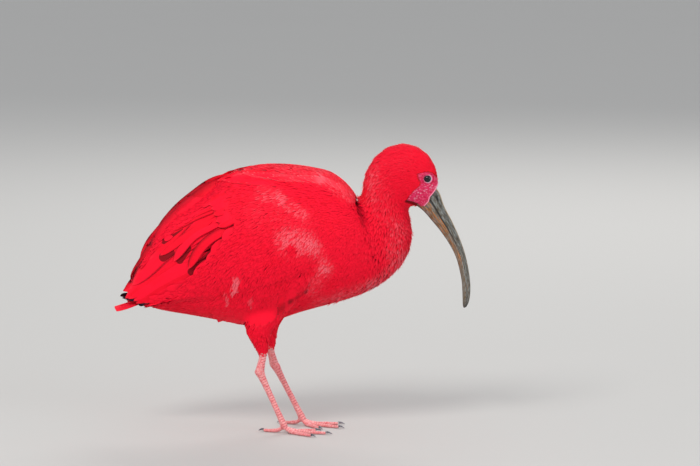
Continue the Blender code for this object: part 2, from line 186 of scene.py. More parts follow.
class Graph:
    """The node tree of one new material."""

    def __init__(self, name: str) -> None:
        self.material = bpy.data.materials.new(name)
        self.material.use_nodes = True
        self.tree = self.material.node_tree
        self.shader = self.tree.nodes["Principled BSDF"]

    def node(self, kind: str, settings: dict | None = None, inputs: dict | None = None) -> bpy.types.Node:
        """Add one node.

        Args:
            kind: The node's type.
            settings: Its settings, set before its sockets.
            inputs: The values or links of its sockets, by name or number.

        Returns:
            The node.
        """
        made = self.tree.nodes.new(kind)
        for key, value in (settings or {}).items():
            setattr(made, key, value)
        for key, value in (inputs or {}).items():
            self.feed(made.inputs[key], value)
        return made

    def feed(self, socket: bpy.types.NodeSocket, value: object) -> None:
        """Link a socket to a signal or another socket, or set its value."""
        if isinstance(value, Signal):
            value = value.socket
        if isinstance(value, bpy.types.NodeSocket):
            self.tree.links.new(value, socket)
        else:
            socket.default_value = value

    def place(self) -> bpy.types.NodeSocket:
        """The object's own coordinates, in metres."""
        return self.node("ShaderNodeTexCoord").outputs["Object"]

    def parts_of(self, vector: bpy.types.NodeSocket) -> tuple[Signal, Signal, Signal]:
        """The three numbers of a vector."""
        node = self.node("ShaderNodeSeparateXYZ", inputs={0: vector})
        return tuple(Signal(self, node.outputs[i]) for i in range(3))

    def vector(self, *parts: Signal | float) -> bpy.types.NodeSocket:
        """A vector of three numbers."""
        return self.node("ShaderNodeCombineXYZ", inputs=dict(enumerate(parts))).outputs[0]

    def attribute(self, name: str) -> Signal:
        """A number that the mesh holds at each point."""
        node = self.node("ShaderNodeAttribute", {"attribute_name": name})
        return Signal(self, node.outputs["Fac"])

    def map(self, name: str) -> tuple[Signal, Signal, Signal]:
        """The two numbers of a UV map, and nought."""
        return self.parts_of(self.node("ShaderNodeUVMap", {"uv_map": name}).outputs[0])

    def noise(self, vector: object, scale: float, detail: float = 3.0, rough: float = 0.5) -> Signal:
        """Noise from 0 to 1."""
        inputs = {"Vector": vector, "Scale": scale, "Detail": detail, "Roughness": rough}
        return Signal(self, self.node("ShaderNodeTexNoise", inputs=inputs).outputs["Fac"])

    def cells(self, vector: object, scale: float, feature: str = "F1") -> Signal:
        """The distance to the nearest point, or to the nearest edge, of a pattern of cells."""
        node = self.node("ShaderNodeTexVoronoi", {"feature": feature}, {"Vector": vector, "Scale": scale})
        return Signal(self, node.outputs["Distance"])

    def mix(self, share: Signal | float, first: object, second: object) -> bpy.types.NodeSocket:
        """A colour between two others."""
        node = self.node("ShaderNodeMix", {"data_type": "RGBA"}, {0: share, 6: first, 7: second})
        return node.outputs[2]

    def bump(self, height: Signal, distance: float, strength: float = 1.0) -> bpy.types.NodeSocket:
        """A normal that follows a height, in metres."""
        inputs = {"Height": height, "Distance": distance, "Strength": strength}
        return self.node("ShaderNodeBump", inputs=inputs).outputs[0]

    def finish(self, **inputs: object) -> bpy.types.Material:
        """Feed the shader's sockets, their names written with underscores, and return the material."""
        for name, value in inputs.items():
            self.feed(self.shader.inputs[name.replace("_", " ")], value)
        return self.material


@dataclass(frozen=True)
class Stroke:
    """A tapering line of colour seen from the side, with its half widths at both ends."""

    start: tuple[float, float]
    end: tuple[float, float]
    half_width: tuple[float, float]

    def mask(self, graph: Graph, x: Signal, z: Signal, soft: float = 0.35) -> Signal:
        """Where the stroke lies, from 0 to 1, for places in the tables' millimetres."""
        length = math.dist(self.start, self.end)
        way_x, way_z = ((end - start) / length for start, end in zip(self.start, self.end))
        right, up = x - self.start[0], z - self.start[1]
        along = (right * way_x + up * way_z).math("MAXIMUM", 0.0).math("MINIMUM", length)
        gap = ((right - along * way_x) ** 2.0 + (up - along * way_z) ** 2.0) ** 0.5
        edge = along * ((self.half_width[1] - self.half_width[0]) / length) + self.half_width[0]
        return (edge - gap).step(-soft, soft)


# Painted shadows: the dark gaps between the tips of the greater coverts, where the feathers beneath lie in
# shade.
QUILL_GAP_SHADOWS = (
    Stroke((-117, 230.5), (-94, 246.5), (2.8, 0.6)),
    Stroke((-117.5, 212.5), (-108, 219), (5.2, 4.6)),
    Stroke((-97.5, 210), (-87, 224.5), (4.6, 3.8)),
    Stroke((-83.5, 196.5), (-31, 249), (4.6, 1.3)),
)


@dataclass(frozen=True)
class PlumageFinish:
    """Feathers: barbs along each vane, pale fringes, crimson shade and blue-black tips."""

    scarlet: tuple = linear(250, 0, 38)
    warm: tuple = linear(255, 6, 46)
    # Crimson: the colour of the painted shade, and of the darker feathers.
    crimson: tuple = linear(128, 0, 14)
    pale: tuple = linear(255, 100, 114)
    ink: tuple = linear(14, 16, 34)
    gap_shade: tuple[Stroke, ...] = QUILL_GAP_SHADOWS
    barbs: float = 40.0

    def material(self) -> bpy.types.Material:
        """The material, which reads the coat's attributes and its map of each vane."""
        graph = Graph("Plumage")
        across, along, _ = graph.map("Vane")
        tone = graph.attribute("tone")
        barb = ((along * self.barbs - across.size() * 9.0) * (2 * math.pi)).sine() * 0.5 + 0.5
        streak = graph.noise(graph.vector(across * 3.0, along * 22.0, tone * 40.0), 1.0, 2.0)
        place = graph.place()
        x, _, z = graph.parts_of(place)
        x, z = x * (1 / MM) + MIDDLE, z * (1 / MM)
        cloud = graph.noise(place, 38.0, 3.0)
        red = graph.mix((cloud + tone * 0.5).step(0.35, 0.75), self.scarlet, self.warm)
        # Painted shadow in the gaps between the coverts' tips, shown only on the rows beneath them (under).
        gap = self.gap_shade[0].mask(graph, x, z)
        for stroke in self.gap_shade[1:]:
            gap = gap.math("MAXIMUM", stroke.mask(graph, x, z))
        # The dark attribute carries painted shade: shadow markings, shaded feather roots and tucked edges of
        # vanes. Streak and tone are the feathers' own variation.
        shade = graph.attribute("dark") + (streak - 0.5) * 0.22 + (tone - 0.5) * -0.16
        shade = shade.math("MAXIMUM", gap * graph.attribute("under") * 0.86)
        red = graph.mix(shade.step(0.0, 1.0), red, self.crimson)
        light = graph.attribute("pale") * (0.72 + streak * 0.56)
        red = graph.mix(light.step(0.0, 1.0), red, self.pale)
        colour = graph.mix(graph.attribute("ink"), red, self.ink)
        shaft = across.size().step(0.14, 0.02)
        height = barb * 0.3 + streak * 0.4 + shaft * 0.4
        return graph.finish(
            Base_Color=colour,
            Roughness=0.55 + streak * 0.2,
            Normal=graph.bump(height, 0.00016, 0.4),
            Sheen_Weight=0.10,
            Sheen_Roughness=0.5,
            Sheen_Tint=linear(255, 60, 90),
            Specular_IOR_Level=0.16,
        )


@dataclass(frozen=True)
class SkinFinish:
    """Skin: red with painted shade under the coat; on the face magenta with pale flecks, painted shade and a
    painted highlight along its edge by the bill; pink plates on the legs.
    """

    scarlet: tuple = linear(205, 0, 24)
    crimson: tuple = linear(110, 0, 10)
    magenta: tuple = linear(255, 28, 104)
    deep_magenta: tuple = linear(218, 4, 66)
    fleck: tuple = linear(255, 164, 190)
    leg: tuple = linear(236, 112, 118)
    leg_pale: tuple = linear(250, 178, 176)
    leg_dark: tuple = linear(170, 52, 66)

    def material(self) -> bpy.types.Material:
        """The material, which reads where the skin is bare and how the plates run."""
        graph = Graph("Bare_skin")
        place = graph.place()
        bare, limb, rim = graph.attribute("bare"), graph.attribute("limb"), graph.attribute("rim")
        pebble, run, front = graph.attribute("pebble"), graph.attribute("run"), graph.attribute("front")
        fine = graph.noise(place, 900.0, 4.0, 0.6)
        coarse = graph.noise(place, 330.0, 3.0, 0.6)
        band = graph.attribute("band")
        dots = graph.cells(place, 430.0).step(0.5, 0.25) * coarse.step(0.36, 0.50)
        flecks = dots * (0.25 + band * 0.75)
        face = graph.mix((coarse * 0.7 + pebble * 0.5).step(0.25, 0.66), self.deep_magenta, self.magenta)
        face = graph.mix(flecks, face, self.fleck)
        # Painted shade on the face: the skin's even shade, and the painted shadow at the gape's corner.
        face = graph.mix(graph.attribute("dark") * 1.1, face, linear(60, 0, 14))
        # Pale along the raised edge of the face by the bill, a painted highlight, and on the lids' rims,
        # their own pale colour.
        face = graph.mix(rim, face, self.fleck)
        # Painted shade on the skin under the coat.
        coated = graph.mix(graph.attribute("dark"), self.scarlet, self.crimson)
        plate = (run * (2 * math.pi / PLATE_RUN)).sine()
        seam = plate.step(-0.72, -0.98) * front
        scale_edge = graph.cells(place, 620.0, "DISTANCE_TO_EDGE").step(0.10, 0.02) * (1 - front)
        legs = graph.mix((coarse + fine * 0.4).step(0.45, 0.9), self.leg, self.leg_pale)
        legs = graph.mix((seam + scale_edge * 0.6) * 0.8, legs, self.leg_dark)
        colour = graph.mix(bare, coated, face)
        colour = graph.mix(limb, colour, legs)
        height = fine * 0.25 + coarse * 0.3 + pebble * 0.8 * bare - (seam + scale_edge * 0.5) * limb
        return graph.finish(
            Base_Color=colour,
            Roughness=0.62 - bare * 0.16 - limb * 0.14,
            Normal=graph.bump(height, 0.0003, 0.6),
            Subsurface_Weight=0.12,
            Subsurface_Radius=(0.9, 0.25, 0.2),
            Subsurface_Scale=0.0015,
            Specular_IOR_Level=0.4,
        )


@dataclass(frozen=True)
class BillFinish:
    """Horn: grey-brown with lengthwise streaks of painted grey sheen, a painted tan highlight on the ridge,
    orange patches near the face, and painted shade in the grooves and along the mouth line.
    """

    upper: tuple = linear(78, 68, 52)
    lower: tuple = linear(98, 76, 48)
    # Painted highlight on the ridge.
    ridge: tuple = linear(206, 172, 126)
    # Painted sheen.
    sheen: tuple = linear(148, 154, 152)
    orange: tuple = linear(196, 116, 40)
    dark: tuple = linear(18, 14, 12)
    lower_half: bool = False

    def material(self) -> bpy.types.Material:
        """The material of one half of the bill, which reads its places along and around it."""
        graph = Graph("Lower_horn" if self.lower_half else "Upper_horn")
        along, around, groove = graph.attribute("along"), graph.attribute("around"), graph.attribute("groove")
        run = graph.vector(along * 26.0, around * 7.0, 3.0 if self.lower_half else 0.0)
        streak = graph.noise(run, 1.0, 5.0, 0.6)
        long_run = graph.vector(along * 9.0, around * 10.0, 7.0)
        wear = graph.noise(long_run, 1.0, 4.0, 0.62)
        scratch = graph.noise(graph.vector(along * 60.0, around * 42.0, 1.0), 1.0, 3.0, 0.7)
        base = self.lower if self.lower_half else self.upper
        # Lengthwise streaks of the horn, lightened to the painted grey sheen.
        colour = graph.mix(streak.step(0.38, 0.66) * 0.7, base, self.sheen)
        if self.lower_half:
            warm = wear.step(0.46, 0.62) * along.step(0.72, 0.45) * around.size().step(0.15, 0.5)
            colour = graph.mix(warm * 0.85, colour, self.orange)
            edge = around.size().step(0.34, 0.12)
            colour = graph.mix(edge * 0.85, colour, self.dark)
        else:
            # Painted highlight along the ridge near the face, varied by the wear.
            ridge_highlight = around.size().step(0.34, 0.10) * along.step(0.95, 0.25)
            colour = graph.mix(ridge_highlight * (0.35 + wear * 0.8), colour, self.ridge)
            colour = graph.mix(wear.step(0.56, 0.7) * along.step(0.3, 0.6) * 0.35, colour, self.orange)
        colour = graph.mix(scratch.step(0.56, 0.76) * 0.55, colour, self.dark)
        tip = (along + (streak - 0.5) * 0.3).step(0.8, 0.98)
        colour = graph.mix(tip * 0.75, colour, self.dark)
        # Painted shade in the groove along each side and in the nostril's slit.
        colour = graph.mix(groove * 0.9, colour, self.dark)
        # Painted shade along the mouth line, where the two halves meet.
        lip = around.size().step(0.90, 0.985)
        colour = graph.mix(lip * 0.92, colour, self.dark)
        height = streak * 0.5 + scratch * 0.35
        return graph.finish(
            Base_Color=colour,
            Roughness=0.30 + wear * 0.28,
            Normal=graph.bump(height, 0.0003, 0.6),
            Specular_IOR_Level=0.5,
        )


@dataclass(frozen=True)
class ClawFinish:
    """Claws: blue-grey horn, mottled paler."""

    dark: tuple = linear(58, 58, 68)
    pale: tuple = linear(160, 156, 162)

    def material(self) -> bpy.types.Material:
        """The material, mottled with paler horn."""
        graph = Graph("Claw_horn")
        place = graph.place()
        streak = graph.noise(place, 700.0, 3.0)
        colour = graph.mix(streak.step(0.35, 0.7), self.dark, self.pale)
        return graph.finish(Base_Color=colour, Roughness=0.3 + streak * 0.2, Specular_IOR_Level=0.5)


@dataclass(frozen=True)
class EyeFinish:
    """Eye: black pupil in a nearly black iris, and the pale blue-grey of the eye's rim."""

    x: float
    z: float
    pupil: tuple = linear(3, 3, 5)
    iris: tuple = linear(22, 16, 26)
    rim: tuple = linear(196, 210, 226)
    disc: float = 4.3

    def material(self) -> bpy.types.Material:
        """The material, which is laid out round the middle of the dark disc."""
        graph = Graph("Eye")
        x, _, z = graph.parts_of(graph.place())
        right = (x - float(to_frame(np.array([self.x, 0, 0]))[0])) / MM
        up = (z - self.z * MM) / MM
        radius = (right**2 + up**2) ** 0.5
        strands = graph.noise(graph.vector(right, up, 0.0), 2.2, 4.0)
        colour = graph.mix((radius + strands * 0.4).step(2.1, 2.6), self.pupil, self.iris)
        colour = graph.mix(radius.step(self.disc - 0.15, self.disc + 0.2), colour, self.rim)
        return graph.finish(Base_Color=colour, Roughness=0.07, Specular_IOR_Level=0.35, Coat_Weight=0.2)


@dataclass(frozen=True)
class FloorFinish:
    """A plain pale floor."""

    colour: tuple = linear(196, 195, 192)

    def material(self) -> bpy.types.Material:
        """The material, with a faint unevenness."""
        graph = Graph("Pale_floor")
        cloud = graph.noise(graph.place(), 3.0, 2.0)
        return graph.finish(
            Base_Color=self.colour, Roughness=0.78 + cloud * 0.1, Specular_IOR_Level=0.2
        )


def object_from(work: bmesh.types.BMesh, name: str) -> bpy.types.Object:
    """A new object of the scene that holds a bmesh."""
    mesh = bpy.data.meshes.new(name)
    work.to_mesh(mesh)
    work.free()
    made = bpy.data.objects.new(name, mesh)
    bpy.context.scene.collection.objects.link(made)
    return made


def welded(node: str) -> bmesh.types.BMesh:
    """A copy of a CAD node's mesh with its loose triangles joined."""
    work = bmesh.new()
    work.from_mesh(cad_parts[node].data)
    bmesh.ops.remove_doubles(work, verts=work.verts, dist=WELD)
    work.normal_update()
    return work


def settle(thing: bpy.types.Object) -> None:
    """Apply an object's modifiers."""
    graph = bpy.context.evaluated_depsgraph_get()
    mesh = bpy.data.meshes.new_from_object(thing.evaluated_get(graph))
    thing.modifiers.clear()
    thing.data = mesh


def read(items: bpy.types.bpy_prop_collection, name: str, width: int, kind: type = np.float32) -> Array:
    """What each item of a Blender collection holds under a name, as rows of an array."""
    values = np.empty(len(items) * width, kind)
    items.foreach_get(name, values)
    return values.reshape(-1, width)


def corners_of(mesh: bpy.types.Mesh) -> tuple[Array, Array]:
    """The points of a mesh in the tables' millimetres, and their normals."""
    points, normals = (read(mesh.vertices, name, 3).astype(float) for name in ("co", "normal"))
    return from_frame(points), normals


def set_points(mesh: bpy.types.Mesh, points: Array) -> None:
    """Move a mesh's points to places in the tables' millimetres."""
    mesh.vertices.foreach_set("co", to_frame(points).astype(np.float32).ravel())
    mesh.update()


def give(mesh: bpy.types.Mesh, **values: Array) -> None:
    """Store numbers at each point of a mesh, under their names. What isn't given reads as 0."""
    for name, numbers in values.items():
        flat = np.asarray(numbers, np.float32).ravel()
        mesh.attributes.new(name, "FLOAT", "POINT").data.foreach_set("value", flat)


def dress(
    thing: bpy.types.Object, material: bpy.types.Material, slot: str, *nodes: str
) -> bpy.types.Object:
    """Give a piece its material, hang it on the root and hide the CAD nodes that it stands for."""
    thing.data.materials.clear()
    thing.data.materials.append(material)
    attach(thing, "root")
    if nodes:
        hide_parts(*nodes)
    return thing


def beside(points: Array, start: Sequence[float], end: Sequence[float]) -> tuple[Array, Array]:
    """How far along a line points lie, from 0 to 1, and the way to each from its nearest place there."""
    start = np.array(start, float)
    side = np.array(end, float) - start
    share = np.clip((points - start) @ side / max(side @ side, 1e-6), 0, 1)
    return share, points - start - share[:, None] * side


def largest_shell(work: bmesh.types.BMesh) -> None:
    """Remove every shell of a mesh but the one with the most points."""
    left, best = set(work.verts), set()
    while left:
        rim = {next(iter(left))}
        shell = set(rim)
        while rim:
            rim = {edge.other_vert(vert) for vert in rim for edge in vert.link_edges} - shell
            shell |= rim
        left -= shell
        best = max(best, shell, key=len)
    bmesh.ops.delete(work, geom=[vert for vert in work.verts if vert not in best], context="VERTS")


def softened(values: Array, edges: Array, rounds: int) -> Array:
    """Vectors at a mesh's points, each brought nearer to its neighbours' mean again and again."""
    count = len(values)
    degree = np.maximum(np.bincount(edges.ravel(), minlength=count), 1)[:, None]
    for _ in range(rounds):
        sums = np.zeros_like(values)
        for here, there in (edges.T, edges.T[::-1]):
            sums += np.stack([np.bincount(here, column[there], count) for column in values.T], 1)
        values = 0.5 * values + 0.5 * sums / degree
    return values


def evened(points: Array, edges: Array, rounds: int) -> Array:
    """A mesh's points with its small facets smoothed away and its size kept."""
    soft = softened(points, edges, rounds)
    return soft - softened(soft - points, edges, rounds)


def fused(name: str, nodes: Iterable[str], voxel: float, smoothing: int, bridge: float) -> bpy.types.Object:
    """One even closed mesh round several CAD nodes, with the thin cuts between them bridged.

    Args:
        name: The object's name.
        nodes: The CAD nodes.
        voxel: The size of its faces, in millimetres.
        smoothing: How many rounds it is smoothed.
        bridge: How far each node is swollen, in millimetres.

    Returns:
        The object, which lies further out than the nodes by the bridge.
    """
    whole = bmesh.new()
    for node in nodes:
        part = welded(node)
        for vert in part.verts:
            vert.co += vert.normal * (bridge * MM)
        mesh = bpy.data.meshes.new("part")
        part.to_mesh(mesh)
        part.free()
        whole.from_mesh(mesh)
        bpy.data.meshes.remove(mesh)
    made = object_from(whole, name)
    remesh = made.modifiers.new("even", "REMESH")
    remesh.mode = "VOXEL"
    remesh.voxel_size = voxel * MM
    settle(made)
    work = bmesh.new()
    work.from_mesh(made.data)
    largest_shell(work)
    work.to_mesh(made.data)
    work.free()
    edges = read(made.data.edges, "vertices", 2, np.int32)
    set_points(made.data, evened(corners_of(made.data)[0], edges, smoothing))
    return made


class Zone:
    """An area seen from the side, bounded by straight lines."""

    def __init__(self, corners: Sequence[tuple[float, float]]) -> None:
        self.corners = np.array(corners, float)

    def distance(self, points: Array) -> Array:
        """How far points lie outside the zone. It is negative inside."""
        place = points[:, [0, 2]]
        nearest, inside = np.full(len(points), np.inf), np.zeros(len(points), bool)
        for start, end in zip(self.corners, np.roll(self.corners, -1, axis=0)):
            nearest = np.minimum(nearest, np.linalg.norm(beside(place, start, end)[1], axis=1))
            crosses = (start[1] > place[:, 1]) != (end[1] > place[:, 1])
            if end[1] != start[1]:
                at = start[0] + (place[:, 1] - start[1]) / (end[1] - start[1]) * (end[0] - start[0])
                inside ^= crosses & (place[:, 0] < at)
        return np.where(inside, -nearest, nearest)


BARE_FACE = Zone([
    (187, 311), (196.6, 313.4), (204, 311.6), (209, 307), (216, 301), (216, 284), (198, 262),
    (189, 271), (185.5, 274.6), (178.5, 277.6), (174.2, 278.6), (177, 284.5), (182, 290.4),
    (189.4, 296.4), (190.6, 300.7), (187.6, 306.5),
])
QUILL_ZONE = Zone([
    (-22, 330), (-28, 300), (-24, 280), (-11, 264), (-42, 230), (-64, 208), (-80, 188), (-95, 168),
    (-125, 155), (-180, 150), (-190, 210), (-100, 300),
])


def forehead(points: Array, half_width: float = 5.0, bottom: float = 300.0) -> Array:
    """Where feathers run down the middle of the forehead between the bare sides."""
    return (np.abs(points[:, 1]) < half_width) & (points[:, 2] > bottom)


class Mark(Enum):
    """What a marking does to the colour."""

    PALE = "pale"
    # Painted shade: markings of this kind darken the colour as shadow.
    DARK = "dark"


@dataclass(frozen=True)
class Marking:
    """A soft patch of colour seen from the side: a line from one place to another with a radius."""

    start: tuple[float, float]
    end: tuple[float, float]
    radius: float
    strength: float
    soft: float = 0.5

    def at(self, points: Array) -> Array:
        """How strong the patch is at points, from 0 to its strength, or below 0 where it takes away."""
        gap = np.linalg.norm(beside(points[:, [0, 2]], self.start, self.end)[1], axis=1)
        return self.strength * (1 - ease(self.radius * (1 - self.soft), self.radius * (1 + self.soft), gap))


MARKINGS = {
    Mark.PALE: (
        Marking((34, 236), (50, 232), 15, 0.62, 0.8),
        Marking((37, 227), (37, 226), 5.5, -0.8, 0.5),
        Marking((2, 292), (22, 290), 8, 0.40, 0.6),
        Marking((26, 284), (52, 268), 7, 0.38, 0.6),
        Marking((0, 268), (48, 256), 20, 0.20, 0.8),
        Marking((-28, 190), (-33, 174), 4, 0.95, 0.35),
        Marking((-42, 172), (-39, 160), 2.2, 0.6, 0.5),
        Marking((-13, 166), (-11, 156), 2.0, 0.5, 0.5),
        Marking((150, 322), (172, 334), 22, 0.10, 0.9),
        Marking((130, 318), (126, 285), 10, 0.22, 0.7),
        Marking((135, 300), (150, 262), 13, 0.22, 0.8),
        Marking((165, 246), (158, 222), 12, 0.34, 0.7),
        Marking((174, 212), (140, 180), 10, 0.52, 0.9),
        Marking((130, 178), (70, 156), 10, 0.46, 0.9),
        Marking((108, 283), (72, 306), 7, 0.45, 0.8),
        Marking((70, 307), (22, 315), 6, 0.34, 0.8),
        Marking((66, 230), (78, 204), 9, 0.46, 0.9),
        Marking((76, 200), (62, 178), 9, 0.42, 0.9),
    ),
    # Painted shadows: under the flank's edge against the breast, in the belly's recess behind the flank, at
    # the gape's corner and a line on the neck.
    Mark.DARK: (
        Marking((34, 160), (17, 146), 4.5, 0.40, 1.0),
        Marking((60, 189), (53, 173), 1.8, 0.42, 1.0),
        Marking((53, 173), (34, 161), 2.6, 0.45, 1.0),
        Marking((172.5, 278), (186, 272.8), 1.6, 0.9, 0.6),
        Marking((114, 276), (122, 250), 2.2, 0.4, 0.8),
    ),
}


def marked(points: Array, kind: Mark) -> Array:
    """How strongly all markings of one kind show at points, from 0 to 1."""
    return np.clip(sum(marking.at(points) for marking in MARKINGS[kind]), 0, 1)


@dataclass(frozen=True)
class Plume:
    """How the feathers lie and what size they are at one place seen from the side.

    The angle is in degrees: 0 points forwards, 90 up and 180 back.
    """

    x: float
    z: float
    angle: float
    length: float
    width: float
    depth: float


PLUMES = tuple(
    Plume(*row)
    for row in (
        (209, 312, 105, 2.8, 1.4, 0.8), (200, 328, 130, 3.6, 1.6, 1.0), (186, 342, 160, 4.4, 1.8, 1.3),
        (168, 344, 182, 5.0, 1.9, 1.5), (152, 338, 203, 5.6, 2.0, 1.7), (137, 326, 228, 6.4, 2.1, 2.0),
        (127, 308, 252, 7.2, 2.2, 2.3), (190, 318, 172, 3.8, 1.6, 1.1), (172, 318, 190, 4.6, 1.8, 1.4),
        (150, 310, 215, 5.8, 2.0, 1.8), (182, 298, 188, 3.6, 1.5, 1.0), (166, 296, 205, 4.6, 1.7, 1.4),
        (174, 283, 215, 4.4, 1.6, 1.3), (150, 283, 242, 7.0, 2.1, 2.2), (180, 268, 255, 4.6, 1.7, 1.5),
        (124, 288, 265, 8.0, 2.4, 2.6), (152, 262, 258, 8.0, 2.4, 2.6), (178, 252, 268, 7.5, 2.2, 2.4),
        (180, 234, 264, 8.5, 2.4, 2.6), (122, 272, 252, 9.0, 2.8, 2.8), (150, 238, 252, 9.5, 2.7, 3.0),
        (174, 212, 246, 10, 2.7, 3.0), (165, 197, 234, 11, 2.8, 3.2), (150, 212, 240, 11, 3.2, 3.3),
        (128, 240, 240, 12, 4.0, 3.4), (138, 176, 214, 13, 3.2, 3.5), (120, 200, 228, 14, 4.8, 3.8),
        (100, 222, 236, 17, 7.5, 4.0), (108, 165, 204, 15, 4.0, 3.8), (90, 188, 222, 17, 6.5, 4.0),
        (70, 152, 196, 18, 6.0, 4.2), (104, 284, 142, 10, 5.0, 2.6), (90, 303, 156, 14, 6.5, 3.2),
        (60, 316, 168, 20, 10, 4.0), (20, 322, 180, 26, 12, 4.0), (-20, 320, 192, 28, 13, 4.0),
        (104, 262, 205, 14, 8.0, 3.6), (80, 280, 198, 16, 9.0, 3.8), (50, 295, 192, 22, 12, 4.0),
        (60, 262, 222, 14, 9.0, 3.6), (30, 275, 212, 17, 11, 3.8), (0, 290, 205, 22, 13, 4.0),
        (-30, 292, 212, 26, 14, 4.0), (62, 235, 232, 14, 9.5, 3.6), (30, 245, 226, 18, 11, 3.8),
        (0, 255, 220, 22, 13, 4.0), (-30, 262, 218, 26, 14, 4.0), (0, 222, 226, 24, 13, 4.0),
        (42, 212, 236, 20, 12, 4.0), (52, 188, 244, 24, 13, 4.2), (10, 182, 252, 28, 14, 4.4),
        (-30, 175, 250, 28, 14, 4.4), (-62, 166, 224, 26, 12, 4.0), (20, 150, 256, 22, 11, 4.2),
        (-12, 138, 250, 20, 10, 4.0), (-60, 146, 205, 20, 9.0, 3.4), (-100, 150, 190, 20, 8.0, 2.8),
        (-142, 150, 184, 16, 7.0, 2.2), (50, 140, 200, 18, 8.0, 3.8), (6, 128, 262, 10, 4.0, 2.4),
        (2, 114, 266, 7.0, 3.0, 1.6), (2, 102, 268, 5.0, 2.2, 0.9),
    )
)


class PlumeField:
    """The lie and the sizes of the coat at any place, drawn from the given plumes."""

    batch = 20_000
    blur = 6.0

    def __init__(self, plumes: Sequence[Plume]) -> None:
        self.places = np.array([(plume.x, plume.z) for plume in plumes], float)
        turns = np.radians([plume.angle for plume in plumes])
        sizes = np.array([(plume.length, plume.width, plume.depth) for plume in plumes])
        self.values = np.column_stack([np.cos(turns), np.sin(turns), sizes])

    def at(self, points: Array) -> Array:
        """The way in x and z, and the length, width and depth, at each point."""
        out = np.empty((len(points), self.values.shape[1]))
        for start in range(0, len(points), self.batch):
            place = points[start : start + self.batch, None, [0, 2]]
            weight = (((place - self.places) ** 2).sum(-1) + self.blur) ** -2.0
            out[start : start + self.batch] = weight @ self.values / weight.sum(1, keepdims=True)
        return out

    def ways(self, points: Array, normals: Array) -> Array:
        """The way that feathers point along the surface."""
        values = self.at(points)
        way = np.column_stack([values[:, 0], np.zeros(len(points)), values[:, 1]])
        way = way - normals * (way * normals).sum(1, keepdims=True)
        return unit(way)


